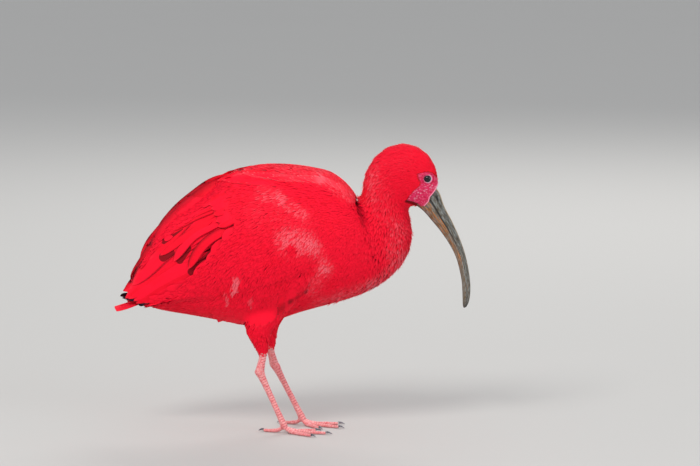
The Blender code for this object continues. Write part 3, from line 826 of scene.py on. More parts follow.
class Outline:
    """The bird's true outline as one closed mesh, with the ways to move over it."""

    far = 150.0
    middle_overlap = 2.0
    tries = 8

    def __init__(
        self, nodes: Iterable[str], voxel: float = 2.0, smoothing: int = 16, bridge: float = 1.6
    ) -> None:
        made = fused("outline", nodes, voxel, smoothing, bridge)
        points, self.normals = corners_of(made.data)
        made.data.calc_loop_triangles()
        self.faces = read(made.data.loop_triangles, "vertices", 3, np.int32)
        self.points = points - self.normals * bridge
        self.tree = BVHTree.FromPolygons(self.points.tolist(), self.faces.tolist())
        self.bake_places = self._unwrapped(made)
        bpy.data.objects.remove(made)

    @staticmethod
    def _unwrapped(made: bpy.types.Object) -> tuple[BVHTree, Array, Array]:
        """A coarse copy laid out flat: its tree, its triangles' corners and their places in the map."""
        coarse = bpy.data.objects.new("coarse", made.data.copy())
        bpy.context.scene.collection.objects.link(coarse)
        fewer = coarse.modifiers.new("fewer", "DECIMATE")
        fewer.ratio = min(1.0, UNWRAP_FACES / len(coarse.data.polygons))
        settle(coarse)
        bpy.ops.object.select_all(action="DESELECT")
        coarse.select_set(True)
        bpy.context.view_layer.objects.active = coarse
        bpy.ops.object.mode_set(mode="EDIT")
        bpy.ops.mesh.select_all(action="SELECT")
        bpy.ops.uv.smart_project(angle_limit=math.radians(66), island_margin=0.004)
        bpy.ops.object.mode_set(mode="OBJECT")
        mesh = coarse.data
        mesh.calc_loop_triangles()
        loops, corners = (read(mesh.loop_triangles, name, 3, np.int32) for name in ("loops", "vertices"))
        places = read(mesh.uv_layers.active.data, "uv", 2)[loops]
        points, _ = corners_of(mesh)
        tree = BVHTree.FromPolygons(points.tolist(), corners.tolist())
        bpy.data.objects.remove(coarse)
        return tree, points[corners], places

    def bake_place(self, points: Array) -> Array:
        """The place of each point in the flat layout of the outline."""
        tree, corners, places = self.bake_places
        out = np.empty((len(points), 2))
        for i, point in enumerate(points.tolist()):
            foot, _, face, _ = tree.find_nearest(point)
            a, b, c = corners[face]
            first, second, third = b - a, c - a, np.array(foot) - a
            d = np.array([[first @ first, first @ second], [first @ second, second @ second]])
            share = np.linalg.solve(d + np.eye(2) * 1e-9, [third @ first, third @ second])
            weights = np.clip([1 - share.sum(), *share], 0, 1)
            out[i] = weights @ places[face] / weights.sum()
        return out

    def nearest(self, points: Array) -> tuple[Array, Array]:
        """The nearest places on the outline and the outward ways there."""
        feet, faces = np.empty_like(points), np.empty(len(points), np.int64)
        find = self.tree.find_nearest
        for i, point in enumerate(points.tolist()):
            foot, _, faces[i], _ = find(point)
            feet[i] = foot
        return feet, unit(self.normals[self.faces[faces]].mean(1))

    def from_side(self, places: Array, side: int) -> tuple[Array, Array]:
        """Where places given by x and z meet the outline, seen from one side, and the ways out.

        Places past its edge keep on from the nearest place that meets it.
        """
        faces = np.full(len(places), -1)
        feet = np.column_stack([places[:, 0], np.zeros(len(places)), places[:, 1]])
        way = Vector((0, -side, 0))
        for i, (x, z) in enumerate(places.tolist()):
            foot, _, face, _ = self.tree.ray_cast(Vector((x, side * self.far, z)), way)
            if foot is not None and foot.y * side > -self.middle_overlap:
                feet[i, 1], faces[i] = foot.y, face
        met = np.flatnonzero(faces >= 0)
        for i in np.flatnonzero(faces < 0):
            near = met[np.argmin(((places[met] - places[i]) ** 2).sum(1))]
            feet[i, 1], faces[i] = feet[near, 1], faces[near]
        outward = self.normals[self.faces[faces]].mean(1)
        outward[:, 1] = np.abs(outward[:, 1]) * side
        free = np.ones(len(places), bool)
        free[met] = False
        outward[free] = unit(outward[free]) * 0.5 + np.array([0, 1.5 * side, 0])
        return feet, unit(outward)

    def scattered(self, spacing: Callable[[Array], Array], rng: np.random.Generator) -> Array:
        """Evenly spread places on the outline.

        Args:
            spacing: Gives the distance to keep at each point, or infinity where none is wanted.
            rng: The source of chance.

        Returns:
            The places.
        """
        corners = self.points[self.faces]
        across = np.cross(corners[:, 1] - corners[:, 0], corners[:, 2] - corners[:, 0])
        area = np.linalg.norm(across, axis=1) / 2
        wanted = area / spacing(corners.mean(1)) ** 2
        count = int(wanted.sum() * self.tries)
        chosen = rng.choice(len(area), count, p=wanted / wanted.sum())
        share = rng.random((count, 2))
        share = np.where(share.sum(1, keepdims=True) > 1, 1 - share, share)
        a, b, c = (corners[chosen, k] for k in range(3))
        points = a + (b - a) * share[:, :1] + (c - a) * share[:, 1:]
        distance = spacing(points)
        tree = KDTree(count)
        for i, point in enumerate(points.tolist()):
            tree.insert(point, i)
        tree.balance()
        free = np.isfinite(distance)
        kept = []
        for i, point in enumerate(points.tolist()):
            if free[i]:
                kept.append(i)
                for _, other, _ in tree.find_range(point, distance[i]):
                    free[other] = False
        return points[kept]


LEANING = {"plumage": (-0.45, 0.05), "quills": (0.05, 0.4), "wing_tips": (0.05, 0.4)}


@dataclass
class Coat:
    """Feathers as joined closed meshes, gathered piece by piece.

    The shading of each leans out of the body by its softness, on the side that faces out: from the
    first number of its slot's leaning, and fully from the second, as the cosine of the angle.
    """

    outline: Outline
    material: bpy.types.Material
    softness: float = 0.72
    names: dict[str, int] = field(default_factory=dict)
    triangles: int = 0

    @staticmethod
    def _faces(count: int, stations: int, ring: int) -> tuple[Array, Array]:
        """The side faces and the end faces of feathers that are rings of points in a row."""
        numbers = np.arange(count * stations * ring).reshape(count, stations, ring)
        near, far = numbers[:, :-1], numbers[:, 1:]
        sides = np.stack([near, np.roll(near, -1, 2), np.roll(far, -1, 2), far], -1).reshape(-1, 4)
        return sides, np.vstack([numbers[:, 0, ::-1], numbers[:, -1]])

    def add(
        self,
        name: str,
        rings: Array,
        maps: Array,
        marks: dict[str, Array],
        outward: Array,
        slot: str = "plumage",
    ) -> list[bpy.types.Object]:
        """Join feathers to objects that each stay below the limit on triangles.

        Args:
            name: The name of the piece, which gets a number where there are several.
            rings: The points, by feather, station and place in the ring, in millimetres.
            maps: The place across and along the vane at each point.
            marks: Numbers at each point, by attribute.
            outward: The ways out of the body at each point, towards which the shading leans.
            slot: The kind of piece, which picks how its shading leans.

        Returns:
            The objects.
        """
        count, stations, ring = rings.shape[:3]
        each = (stations - 1) * ring * 2 + 2 * (ring - 2)
        made = []
        for part in np.array_split(np.arange(count), math.ceil(count * each / COAT_LIMIT)):
            chosen = {key: value[part] for key, value in marks.items()}
            self.names[name] = self.names.get(name, 0) + 1
            title = f"{name}_{self.names[name]}"
            made.append(self._piece(title, rings[part], maps[part], chosen, outward[part], slot))
        self.triangles += count * each
        return made

    def _piece(
        self, name: str, rings: Array, maps: Array, marks: dict[str, Array], outward: Array, slot: str
    ) -> bpy.types.Object:
        """One object of feathers."""
        count, stations, ring = rings.shape[:3]
        sides, ends = self._faces(count, stations, ring)
        corners = np.concatenate([sides.ravel(), ends.ravel()])
        starts = np.concatenate([np.arange(len(sides)) * 4, sides.size + np.arange(len(ends)) * ring])
        mesh = bpy.data.meshes.new(name)
        mesh.vertices.add(count * stations * ring)
        set_points(mesh, rings.reshape(-1, 3))
        mesh.loops.add(len(corners))
        mesh.loops.foreach_set("vertex_index", corners.astype(np.int32))
        mesh.polygons.add(len(starts))
        mesh.polygons.foreach_set("loop_start", starts.astype(np.int32))
        mesh.update(calc_edges=True)
        mesh.shade_smooth()
        flat = maps.reshape(-1, 2)
        roots = np.repeat(self.outline.bake_place(rings[:, 0].mean(1)), stations * ring, axis=0)
        baked = np.clip(roots + (flat * [0.5, 1.0] - [0.0, 0.5]) * BAKE_PATCH, 0, 1)
        for title, places in (("Vane", flat), ("OFBake", baked)):
            layer = mesh.uv_layers.new(name=title)
            layer.data.foreach_set("uv", places[corners].astype(np.float32).ravel())
        give(mesh, **marks)
        own, outward = read(mesh.vertex_normals, "vector", 3), outward.reshape(-1, 3)
        leaning = self.softness * ease(*LEANING[slot], (own * outward).sum(1, keepdims=True))
        leant = unit(own * (1 - leaning) + outward * leaning)
        mesh.normals_split_custom_set_from_vertices(leant.tolist())
        made = bpy.data.objects.new(name, mesh)
        bpy.context.scene.collection.objects.link(made)
        return dress(made, self.material, slot)


@dataclass(frozen=True)
class VaneForm:
    """The build of one kind of small feather.

    The stations are shares of the length, the breadths shares of the half width there, and the ring
    holds the places across and above the shaft of the points round the vane.
    """

    stations: tuple[float, ...]
    breadths: tuple[float, ...]
    ring: tuple[tuple[float, float], ...]
    thickness: float
    flattening: float


HAIRLIKE = VaneForm(
    stations=(0.0, 0.3, 0.6, 0.85, 1.0),
    breadths=(0.5, 0.9, 1.0, 0.6, 0.1),
    ring=((1, 0), (0, 1), (-1, 0)),
    thickness=0.16,
    flattening=1.35,
)
CONTOUR = VaneForm(
    stations=(0.0, 0.22, 0.45, 0.64, 0.79, 0.9, 0.965, 1.0),
    breadths=(0.25, 0.72, 0.96, 1.0, 0.88, 0.64, 0.38, 0.1),
    ring=((1, 0), (0.5, 0.75), (0.06, 1), (-0.06, 1), (-0.5, 0.75), (-1, 0), (0, -0.3)),
    thickness=0.16,
    flattening=1.8,
)


@dataclass(frozen=True)
class Layer:
    """One layer of scattered feathers.

    It grows where the field's feathers are from one width to another. Its own feathers take a share
    of the field's length and depth, and may have a width of their own.
    """

    name: str
    form: VaneForm
    widths: tuple[float, float]
    crowding: float
    length: float = 1.0
    width: float = 0.0
    depth: float = 1.0
    stray: float = 1.0
    turn: float = 0.10
    root_shade: float = 0.3
    pale: float = 1.0
    fringe: float = 0.3
    lift: float = 0.0

    def sizes(self, values: Array) -> tuple[Array, Array, Array]:
        """The lengths, widths and depths of its feathers, from the field's values."""
        length = values[:, 2] * self.length
        width = np.full(len(values), self.width) if self.width else values[:, 3]
        return length, width, values[:, 4] * self.depth


LAYERS = (
    Layer("coat_fine", HAIRLIKE, (0, 4.4), 0.305, 1.15, stray=3.0, turn=0.15, root_shade=0.22, fringe=0.42),
    Layer(
        "coat_body", CONTOUR, (4.2, 99), 0.38, 1.15,
        stray=0.3, root_shade=0.36, pale=0.5, fringe=0.25, lift=-0.15,
    ),
    Layer(
        "coat_silk", HAIRLIKE, (3.8, 99), 0.33, 0.62, width=2.3, depth=0.45,
        stray=0.4, root_shade=0.08, fringe=0.16, lift=0.3,
    ),
)
TOP_EDGE = (
    (-170, 160), (-161, 178), (-150, 198), (-134, 223), (-114, 252),
    (-88, 273), (-59, 296), (-44, 311), (-20, 320),
)


@dataclass
class BodyFeathers:
    """The scattered feathers: hair-like on the head and neck, broad with a silky cover on the body."""

    outline: Outline
    lie: PlumeField
    coat: Coat
    layers: tuple[Layer, ...] = LAYERS
    face_gap: float = 0.3
    quill_cover: float = 3.0
    ridge_cover: float = 13.0
    ridge_end: float = -138.0
    tail_start: tuple[float, float] = (-122.0, 160.0)
    leg_top: float = 98.5
    wing_start: float = -25.0
    inner_side: float = -0.3
    length_spread: tuple[float, float] = (0.84, 1.18)
    width_spread: tuple[float, float] = (0.88, 1.14)
    tilt_spread: float = 0.04
    stray_chance: tuple[float, float] = (1.2, 0.22)
    stray_depths: tuple[float, float] = (0.8, 2.4)
    stray_lift: float = 0.35
    steadiness: float = 0.5
    stiffness: float = 0.7
    drop_limits: tuple[float, float] = (-0.4, 0.6)
    seed: int = 7

    def spacing(self, layer: Layer, points: Array) -> Array:
        """The distance to keep between the roots at points, or infinity where there are none."""
        values = self.lie.at(points)
        length, width, _ = layer.sizes(values)
        low, high = layer.widths
        elsewhere = (values[:, 3] < low) | (values[:, 3] > high)
        x, z = points[:, 0], points[:, 2]
        bare = (BARE_FACE.distance(points) < self.face_gap) & ~forehead(points)
        below = (z < np.interp(x, *zip(*TOP_EDGE)) - self.ridge_cover) | (x < self.ridge_end)
        quills = (QUILL_ZONE.distance(points) < -self.quill_cover) & below
        tail = (x < self.tail_start[0]) & (z < self.tail_start[1])
        none = elsewhere | bare | quills | tail | (z < self.leg_top)
        return np.where(none, np.inf, layer.crowding * np.sqrt(length * width))

    def build(self) -> list[bpy.types.Object]:
        """Make all scattered feathers.

        Returns:
            The coat pieces.
        """
        rng = np.random.default_rng(self.seed)
        made = []
        for layer in self.layers:
            roots = self.outline.scattered(lambda points: self.spacing(layer, points), rng)
            _, normals = self.outline.nearest(roots)
            outwards = normals[:, 1] * np.sign(roots[:, 1])
            roots = roots[(roots[:, 0] >= self.wing_start) | (outwards >= self.inner_side)]
            made += self._feathers(roots, layer, rng)
            LOG.info("%s: %d feathers", layer.name, len(roots))
        return made

    def _feathers(self, roots: Array, layer: Layer, rng: np.random.Generator) -> list[bpy.types.Object]:
        """The feathers of one layer at the given roots."""
        form, share, count = layer.form, np.array(layer.form.stations), len(roots)
        feet, normals = self.outline.nearest(roots)
        length, width, depth = layer.sizes(self.lie.at(feet))
        length = length * rng.uniform(*self.length_spread, count)
        half_width = width / 2 * rng.uniform(*self.width_spread, count)
        turn = rng.normal(0, layer.turn, count)
        centres, outward, ways = self._march(feet, normals, length, share, turn)
        drop = self._drop(feet, normals, ways[:, 0], half_width)
        rise = layer.lift - (depth + ROOT_DEPTH)[:, None] * (1 - share) ** form.flattening
        stray = rng.gamma(*self.stray_chance, count) * layer.stray
        stray = stray * np.clip(depth, *self.stray_depths) * self.stray_lift
        rise = rise + stray[:, None] * share**2
        sideways = np.cross(outward, ways)
        tilt = rng.normal(0, self.tilt_spread, count)
        breadth = half_width[:, None] * np.array(form.breadths)
        thick = form.thickness * (0.4 + 0.6 * np.sin(np.pi * np.clip(share, 0.05, 0.95)))
        rings = []
        for across, above in form.ring:
            reach = breadth * across
            sink = drop[:, None] * (reach / half_width[:, None]) ** 2
            height = rise + thick * above - sink + reach * tilt[:, None]
            rings.append(centres + sideways * reach[..., None] + outward * height[..., None])
        rings = np.stack(rings, 2)
        outward = np.repeat(outward[:, :, None], len(form.ring), axis=2)
        return self.coat.add(layer.name, rings, *self._dressed(rings, layer, rng), outward)

    def _march(
        self, feet: Array, normals: Array, length: Array, share: Array, turn: Array
    ) -> tuple[Array, Array, Array]:
        """The middle lines of feathers over the outline: places, outward ways and the ways along."""
        places, outward, ways = [feet], [normals], [turned(self.lie.ways(feet, normals), normals, turn)]
        for step in np.diff(share):
            place, normal = self.outline.nearest(places[-1] + ways[-1] * (length * step)[:, None])
            normal = unit(normal + outward[-1] * self.steadiness)
            led = turned(self.lie.ways(place, normal), normal, turn)
            flat = ways[-1] - normal * (ways[-1] * normal).sum(1, keepdims=True)
            places.append(place)
            outward.append(normal)
            ways.append(unit(unit(flat) * self.stiffness + led * (1 - self.stiffness)))
        return tuple(np.stack(rows, 1) for rows in (places, outward, ways))

    def _drop(self, feet: Array, normals: Array, way: Array, half_width: Array) -> Array:
        """How far the outline falls away at the sides of each feather."""
        side = np.cross(normals, way)
        total = np.zeros(len(feet))
        for sign in (-1, 1):
            probe, _ = self.outline.nearest(feet + side * (half_width * sign)[:, None])
            total += ((feet - probe) * normals).sum(1)
        low, high = self.drop_limits
        return np.clip(total / 2, low * half_width, high * half_width)

    def _dressed(
        self, rings: Array, layer: Layer, rng: np.random.Generator
    ) -> tuple[Array, dict[str, Array]]:
        """The map of each vane and the markings at its points."""
        shape = rings.shape[:3]
        count, stations, _ = shape
        across, along = vane_places(layer.form.stations, [place for place, _ in layer.form.ring], count)
        tone = np.broadcast_to(rng.random((count, 1, 1)), shape)
        pale = marked(rings[:, stations // 2].mean(1), Mark.PALE)[:, None, None]
        # Painted shade: the shadow markings, and below, darker towards each feather's covered root.
        dark = marked(rings.reshape(-1, 3), Mark.DARK).reshape(shape)
        edge = np.maximum(ease(0.72, 1.0, along), ease(0.8, 1.0, np.abs(across)) * ease(0.3, 0.7, along))
        fringe = rng.random((count, 1, 1)) ** 2 * layer.fringe + 0.04
        chance = rng.random((count, 1, 1))
        patch = pale * (0.35 + 0.65 * (chance < pale)) * (0.5 + 0.5 * along) * layer.pale
        shown = np.clip(patch + fringe * edge * (0.4 + pale * 1.4), 0, 1)
        dark = np.clip(dark + layer.root_shade * (1 - ease(0.25, 0.75, along)), 0, 1)
        return np.stack([across, along], -1), {"tone": tone, "pale": shown, "dark": dark}


@dataclass(frozen=True)
class QuillRow:
    """A row of large feathers of one wing, laid over it as seen from the side.

    Each course gives the root, the tip and the sag of a feather at that share of the row. The sag is
    how far the middle of the shaft lies to the lower side of the straight line.
    """

    name: str
    count: int
    width: tuple[float, float]
    layer: tuple[float, float]
    courses: tuple[tuple[float, float, float, float, float], ...]
    tilt: float = 0.5
    fringe: float = 0.2
    inked: float = 0.0
    pointed: float = 0.35
    # Whether the painted gap shadows show on this row, which lies beneath the coverts.
    gap_shade: bool = False


QUILL_ROWS = (
    QuillRow(
        "primaries", 6, (10, 8), (-3.2, -3.0), inked=0.84, courses=(
            (-74, 182, -169.5, 160.5, 2), (-70, 172, -146, 153, 1), (-66, 166, -126, 151, 1),
        ),
    ),
    QuillRow(
        "secondaries", 11, (18, 14), (-2.2, -2.4), gap_shade=True, courses=(
            (-46, 258, -163, 170, -7), (-54, 240, -165, 164, -6), (-60, 222, -161, 159, -5),
            (-66, 206, -150, 156, -4), (-72, 192, -134, 154, -2), (-70, 180, -112, 154, 0),
        ),
    ),
    QuillRow(
        "tertials", 6, (27, 23), (-1.5, -1.5), gap_shade=True, courses=(
            (-20, 312, -130, 218, -12), (-26, 300, -142, 204, -11), (-32, 286, -152, 190, -10),
            (-38, 272, -159, 178, -8),
        ),
    ),
    QuillRow(
        "upper_coverts", 5, (18, 15), (-0.8, -0.8), tilt=0.4, courses=(
            (-36, 300, -96, 264, -5), (-42, 280, -112, 246, -4),
        ),
    ),
    QuillRow(
        "greater_coverts", 3, (12, 12), (-0.9, -0.6), tilt=0.4, courses=(
            (-50, 266, -123, 216, -2), (-46, 258, -103.4, 208.5, -9), (-30, 254, -87.5, 199.5, -9.5),
        ),
    ),
    QuillRow(
        "median_coverts", 7, (17, 15), (-0.4, -0.3), tilt=0.4, courses=(
            (-14, 300, -62, 282, -3), (-8, 286, -58, 266, -3), (-4, 274, -48, 252, -3),
        ),
    ),
    QuillRow(
        "flank_plumes", 15, (16, 15), (-0.2, 0.3), tilt=0.3, pointed=0.25, courses=(
            (-62, 184, -80, 139, 2), (-38, 182, -46, 133, 2), (-8, 180, -14, 130, 1),
            (20, 184, 8, 134, -1), (46, 200, 34, 152, -2),
        ),
    ),
    QuillRow(
        "scapulars", 7, (12, 10), (0.1, 0.5), tilt=0.3, fringe=0.4, pointed=0.8, courses=(
            (46, 303, -20, 303, -2), (28, 309, -38, 304.5, -3), (8, 315, -50, 303.5, -3),
        ),
    ),
    QuillRow(
        "mantle_plumes", 34, (6, 7.5), (0.3, 0.5), tilt=0.2, fringe=0.85, pointed=0.9, courses=(
            (108, 278, 92, 300, -2), (98, 290, 72, 308, -2), (84, 298, 50, 310, -1),
            (66, 303, 26, 310, -1), (48, 306, 4, 312, 0), (30, 311, -24, 314, 0),
        ),
    ),
)


def quill_breadth(share: Array, pointed: float, root: float = 0.3, least: float = 0.03) -> Array:
    """The share of the half width along a large feather with a rounded or a pointed end."""
    start = 0.62 if pointed > 0.5 else 0.78
    end = np.clip((share - start) / (1 - start), 0, 1)
    tip = np.sqrt(np.clip(1 - end**2, 0, 1)) * (1 - pointed * end * 0.6)
    return np.maximum((root + (1 - root) * ease(0.0, 0.3, share)) * tip, least)


@dataclass
class WingFeathers:
    """The rows of large feathers on both folded wings."""

    outline: Outline
    coat: Coat
    rows: tuple[QuillRow, ...] = QUILL_ROWS
    stations: int = 30
    upper: tuple[float, ...] = (1.0, 0.7, 0.36, 0.05, -0.05, -0.36, -0.7, -1.0)
    lower: tuple[float, ...] = (-0.6, 0.0, 0.6)
    thickness: float = 0.4
    shaft: float = 0.2
    course_steps: int = 12
    course_spread: tuple[float, ...] = (0.9, 0.9, 1.44, 1.44, 0.54)
    width_spread: tuple[float, float] = (0.95, 1.05)
    root_depth: float = 2.6
    bunching: float = 1.25
    vault: float = 0.025
    fray: float = 0.012
    splits: tuple[int, int] = (0, 3)
    split_places: tuple[float, float] = (0.45, 0.92)
    split_depths: tuple[float, float] = (0.06, 0.2)
    split_width: float = 0.012
    seed: int = 11

    def build(self) -> list[bpy.types.Object]:
        """Make every row on both sides.

        Returns:
            The pieces.
        """
        rng = np.random.default_rng(self.seed)
        made = []
        for row in self.rows:
            slot = "wing_tips" if row.inked else "quills"
            for word, side in SIDES.items():
                rings, outward, maps, marks = self._row(row, side, rng)
                made += self.coat.add(f"{row.name}_{word}", rings, maps, marks, outward, slot)
        return made

    def _row(
        self, row: QuillRow, side: int, rng: np.random.Generator
    ) -> tuple[Array, Array, Array, dict[str, Array]]:
        """The rings, outward ways, maps and markings of one row on one side."""
        courses = curve_between(row.courses, self.course_steps)
        shares = np.linspace(0, 1, row.count)
        places = shares * (len(courses) - 1)
        course = np.stack([np.interp(places, np.arange(len(courses)), column) for column in courses.T], 1)
        course = course + rng.normal(0, 1, course.shape) * self.course_spread
        widths = np.interp(shares, (0, 1), row.width) * rng.uniform(*self.width_spread, row.count)
        layers = np.interp(shares, (0, 1), row.layer)
        share = 1 - (1 - np.linspace(0, 1, self.stations)) ** self.bunching
        feathers = [
            self._feather(row, *one, share, side, rng) for one in zip(course, widths, layers)
        ]
        rings, outward = (np.stack(parts) for parts in zip(*feathers))
        if side > 0:
            rings, outward = rings[:, :, ::-1], outward[:, :, ::-1]
        return rings, outward, *self._dressed(row, rings, share, side, rng)

    def _feather(
        self,
        row: QuillRow,
        course: Array,
        width: float,
        layer: float,
        share: Array,
        side: int,
        rng: np.random.Generator,
    ) -> tuple[Array, Array]:
        """The rings of one feather, laid on the outline, and the outward ways there."""
        root, tip, sag = course[:2], course[2:4], course[4]
        line = tip - root
        across = np.array([-line[1], line[0]]) / np.linalg.norm(line)
        middle = root + share[:, None] * line + across * (np.sin(np.pi * share) * sag)[:, None]
        way = unit(np.gradient(middle, axis=0))
        down = np.stack([-way[:, 1], way[:, 0]], 1)
        half = width / 2 * quill_breadth(share, row.pointed)
        places = np.array([*self.upper, *self.lower])
        rim, on_top = np.abs(places) == 1, np.arange(len(places)) < len(self.upper)
        reach = half[:, None] * places * np.where(rim, self._ragged(share, rng)[:, None], 1)
        grid = middle[:, None] + down[:, None] * reach[..., None]
        feet, outward = self.outline.from_side(grid.reshape(-1, 2), side)
        shape = (self.stations, len(places), 3)
        feet, outward = self._eased(feet.reshape(shape)), unit(self._eased(outward.reshape(shape)))
        height = layer - self.root_depth * (1 - share[:, None]) ** 2 + row.tilt * places
        above = np.where(on_top, 0.0, -self.thickness) - 0.5 * self.thickness * rim
        above = above + self.shaft * (np.abs(places) < 0.1) * on_top
        vault = self.vault * np.cos(places * np.pi / 2) * width
        return feet + outward * (height + above + vault)[..., None], outward

    def _ragged(self, share: Array, rng: np.random.Generator) -> Array:
        """The edge of a vane with its small splits, as shares of its breadth."""
        edge = 1 + rng.normal(0, self.fray, len(share))
        for _ in range(rng.integers(*self.splits)):
            place = rng.uniform(*self.split_places)
            edge -= rng.uniform(*self.split_depths) * np.exp(-(((share - place) / self.split_width) ** 2))
        return edge

    @staticmethod
    def _eased(grid: Array) -> Array:
        """A grid of vectors smoothed along and across the vane."""
        for _ in range(3):
            inner = (grid[:-2] + 2 * grid[1:-1] + grid[2:]) / 4
            grid = np.concatenate([grid[:1], inner, grid[-1:]])
        return grid

    def _dressed(
        self, row: QuillRow, rings: Array, share: Array, side: int, rng: np.random.Generator
    ) -> tuple[Array, dict[str, Array]]:
        """The map of each vane and the markings at its points."""
        shape = rings.shape[:3]
        ring = [*self.upper, *self.lower]
        across, along = vane_places(share, ring[::-1] if side > 0 else ring, shape[0])
        tone = np.broadcast_to(rng.random((shape[0], 1, 1)) * 2.2 - 0.6, shape)
        # Painted shadows from the shade markings.
        pale, dark = (marked(rings.reshape(-1, 3), kind).reshape(shape) for kind in (Mark.PALE, Mark.DARK))
        # Painted shade along the side of each vane that is tucked under its neighbour.
        tucked_shade = 0.55 * ease(0.1, 1.0, -across) * ease(0.05, 0.4, along)
        edge = np.maximum(ease(0.93, 1.0, along), ease(0.9, 1.0, np.abs(across)) * ease(0.2, 0.6, along))
        marks = {
            "tone": tone,
            "pale": np.clip(pale * 0.8 + row.fringe * edge, 0, 1),
            "dark": np.clip(dark + tucked_shade * (1 - pale), 0, 1),
            "ink": ease(row.inked - 0.05, row.inked + 0.04, along) * (row.inked > 0),
            # Where the painted gap shadows may show.
            "under": np.full(shape, float(row.gap_shade)),
        }
        return np.stack([across, along], -1), marks


@dataclass
class TailFeathers:
    """The closed tail: a flat fan of quills, the middle pair on top."""

    coat: Coat
    name: str = "tail_quills"
    count: int = 12
    root: tuple[float, float] = (-98.0, 173.0)
    tip: tuple[float, float] = (-177.5, 149.2)
    half_fan: float = 12.24
    width: float = 11.0
    pointed: float = 0.2
    droop: float = 0.012
    roundness: float = 2.5
    root_spread: float = 0.2
    roof: float = 1.6
    root_lift: float = 1.2
    overlap: float = 0.3
    bunching: float = 1.3
    stations: int = 26
    ring: tuple[tuple[float, float], ...] = (
        (1, -0.2), (0.5, 0.1), (0.06, 0.3), (-0.06, 0.3), (-0.5, 0.1), (-1, -0.2), (0, -0.5),
    )
    seed: int = 5

    def build(self) -> list[bpy.types.Object]:
        """Make the tail's quills.

        Returns:
            The pieces.
        """
        rng = np.random.default_rng(self.seed)
        share = 1 - (1 - np.linspace(0, 1, self.stations)) ** self.bunching
        breadth = quill_breadth(share, self.pointed)
        order = np.linspace(-1, 1, self.count)
        rings = np.empty((self.count, self.stations, len(self.ring), 3))
        for i, place in enumerate(order):
            x = self.root[0] + (self.tip[0] + self.roundness * place**2 - self.root[0]) * share
            y = self.half_fan * place * (self.root_spread + (1 - self.root_spread) * share)
            z = self.root[1] + (self.tip[1] - self.root[1]) * share
            z = z - self.roof * abs(place) + self.root_lift * (1 - share)
            middle = np.stack([x, y, z], 1)
            way = unit(np.gradient(middle, axis=0))
            side = unit(np.cross([0.0, 0.0, 1.0], way))
            for k, (across, above) in enumerate(self.ring):
                point = middle + side * (breadth * self.width / 2 * across)[:, None]
                point[:, 2] += above - self.droop * point[:, 1] ** 2
                point[:, 2] += self.overlap * across * math.copysign(1, place)
                rings[i, :, k] = point
        across, along = vane_places(share, [place for place, _ in self.ring], self.count)
        marks = {
            "tone": np.broadcast_to(rng.random((self.count, 1, 1)), along.shape),
            "pale": 0.25 * ease(0.9, 1.0, np.abs(across)) * ease(0.5, 0.9, along),
        }
        outward = np.broadcast_to([0.0, 0.0, 1.0], rings.shape)
        return self.coat.add(self.name, rings, np.stack([across, along], -1), marks, outward, "quills")


@dataclass(frozen=True)
class Limb:
    """One bare length of leg as a line from its top to its end, for the run of its plates."""

    start: tuple[float, float, float]
    end: tuple[float, float, float]
    radius: float
    front: tuple[float, float, float]


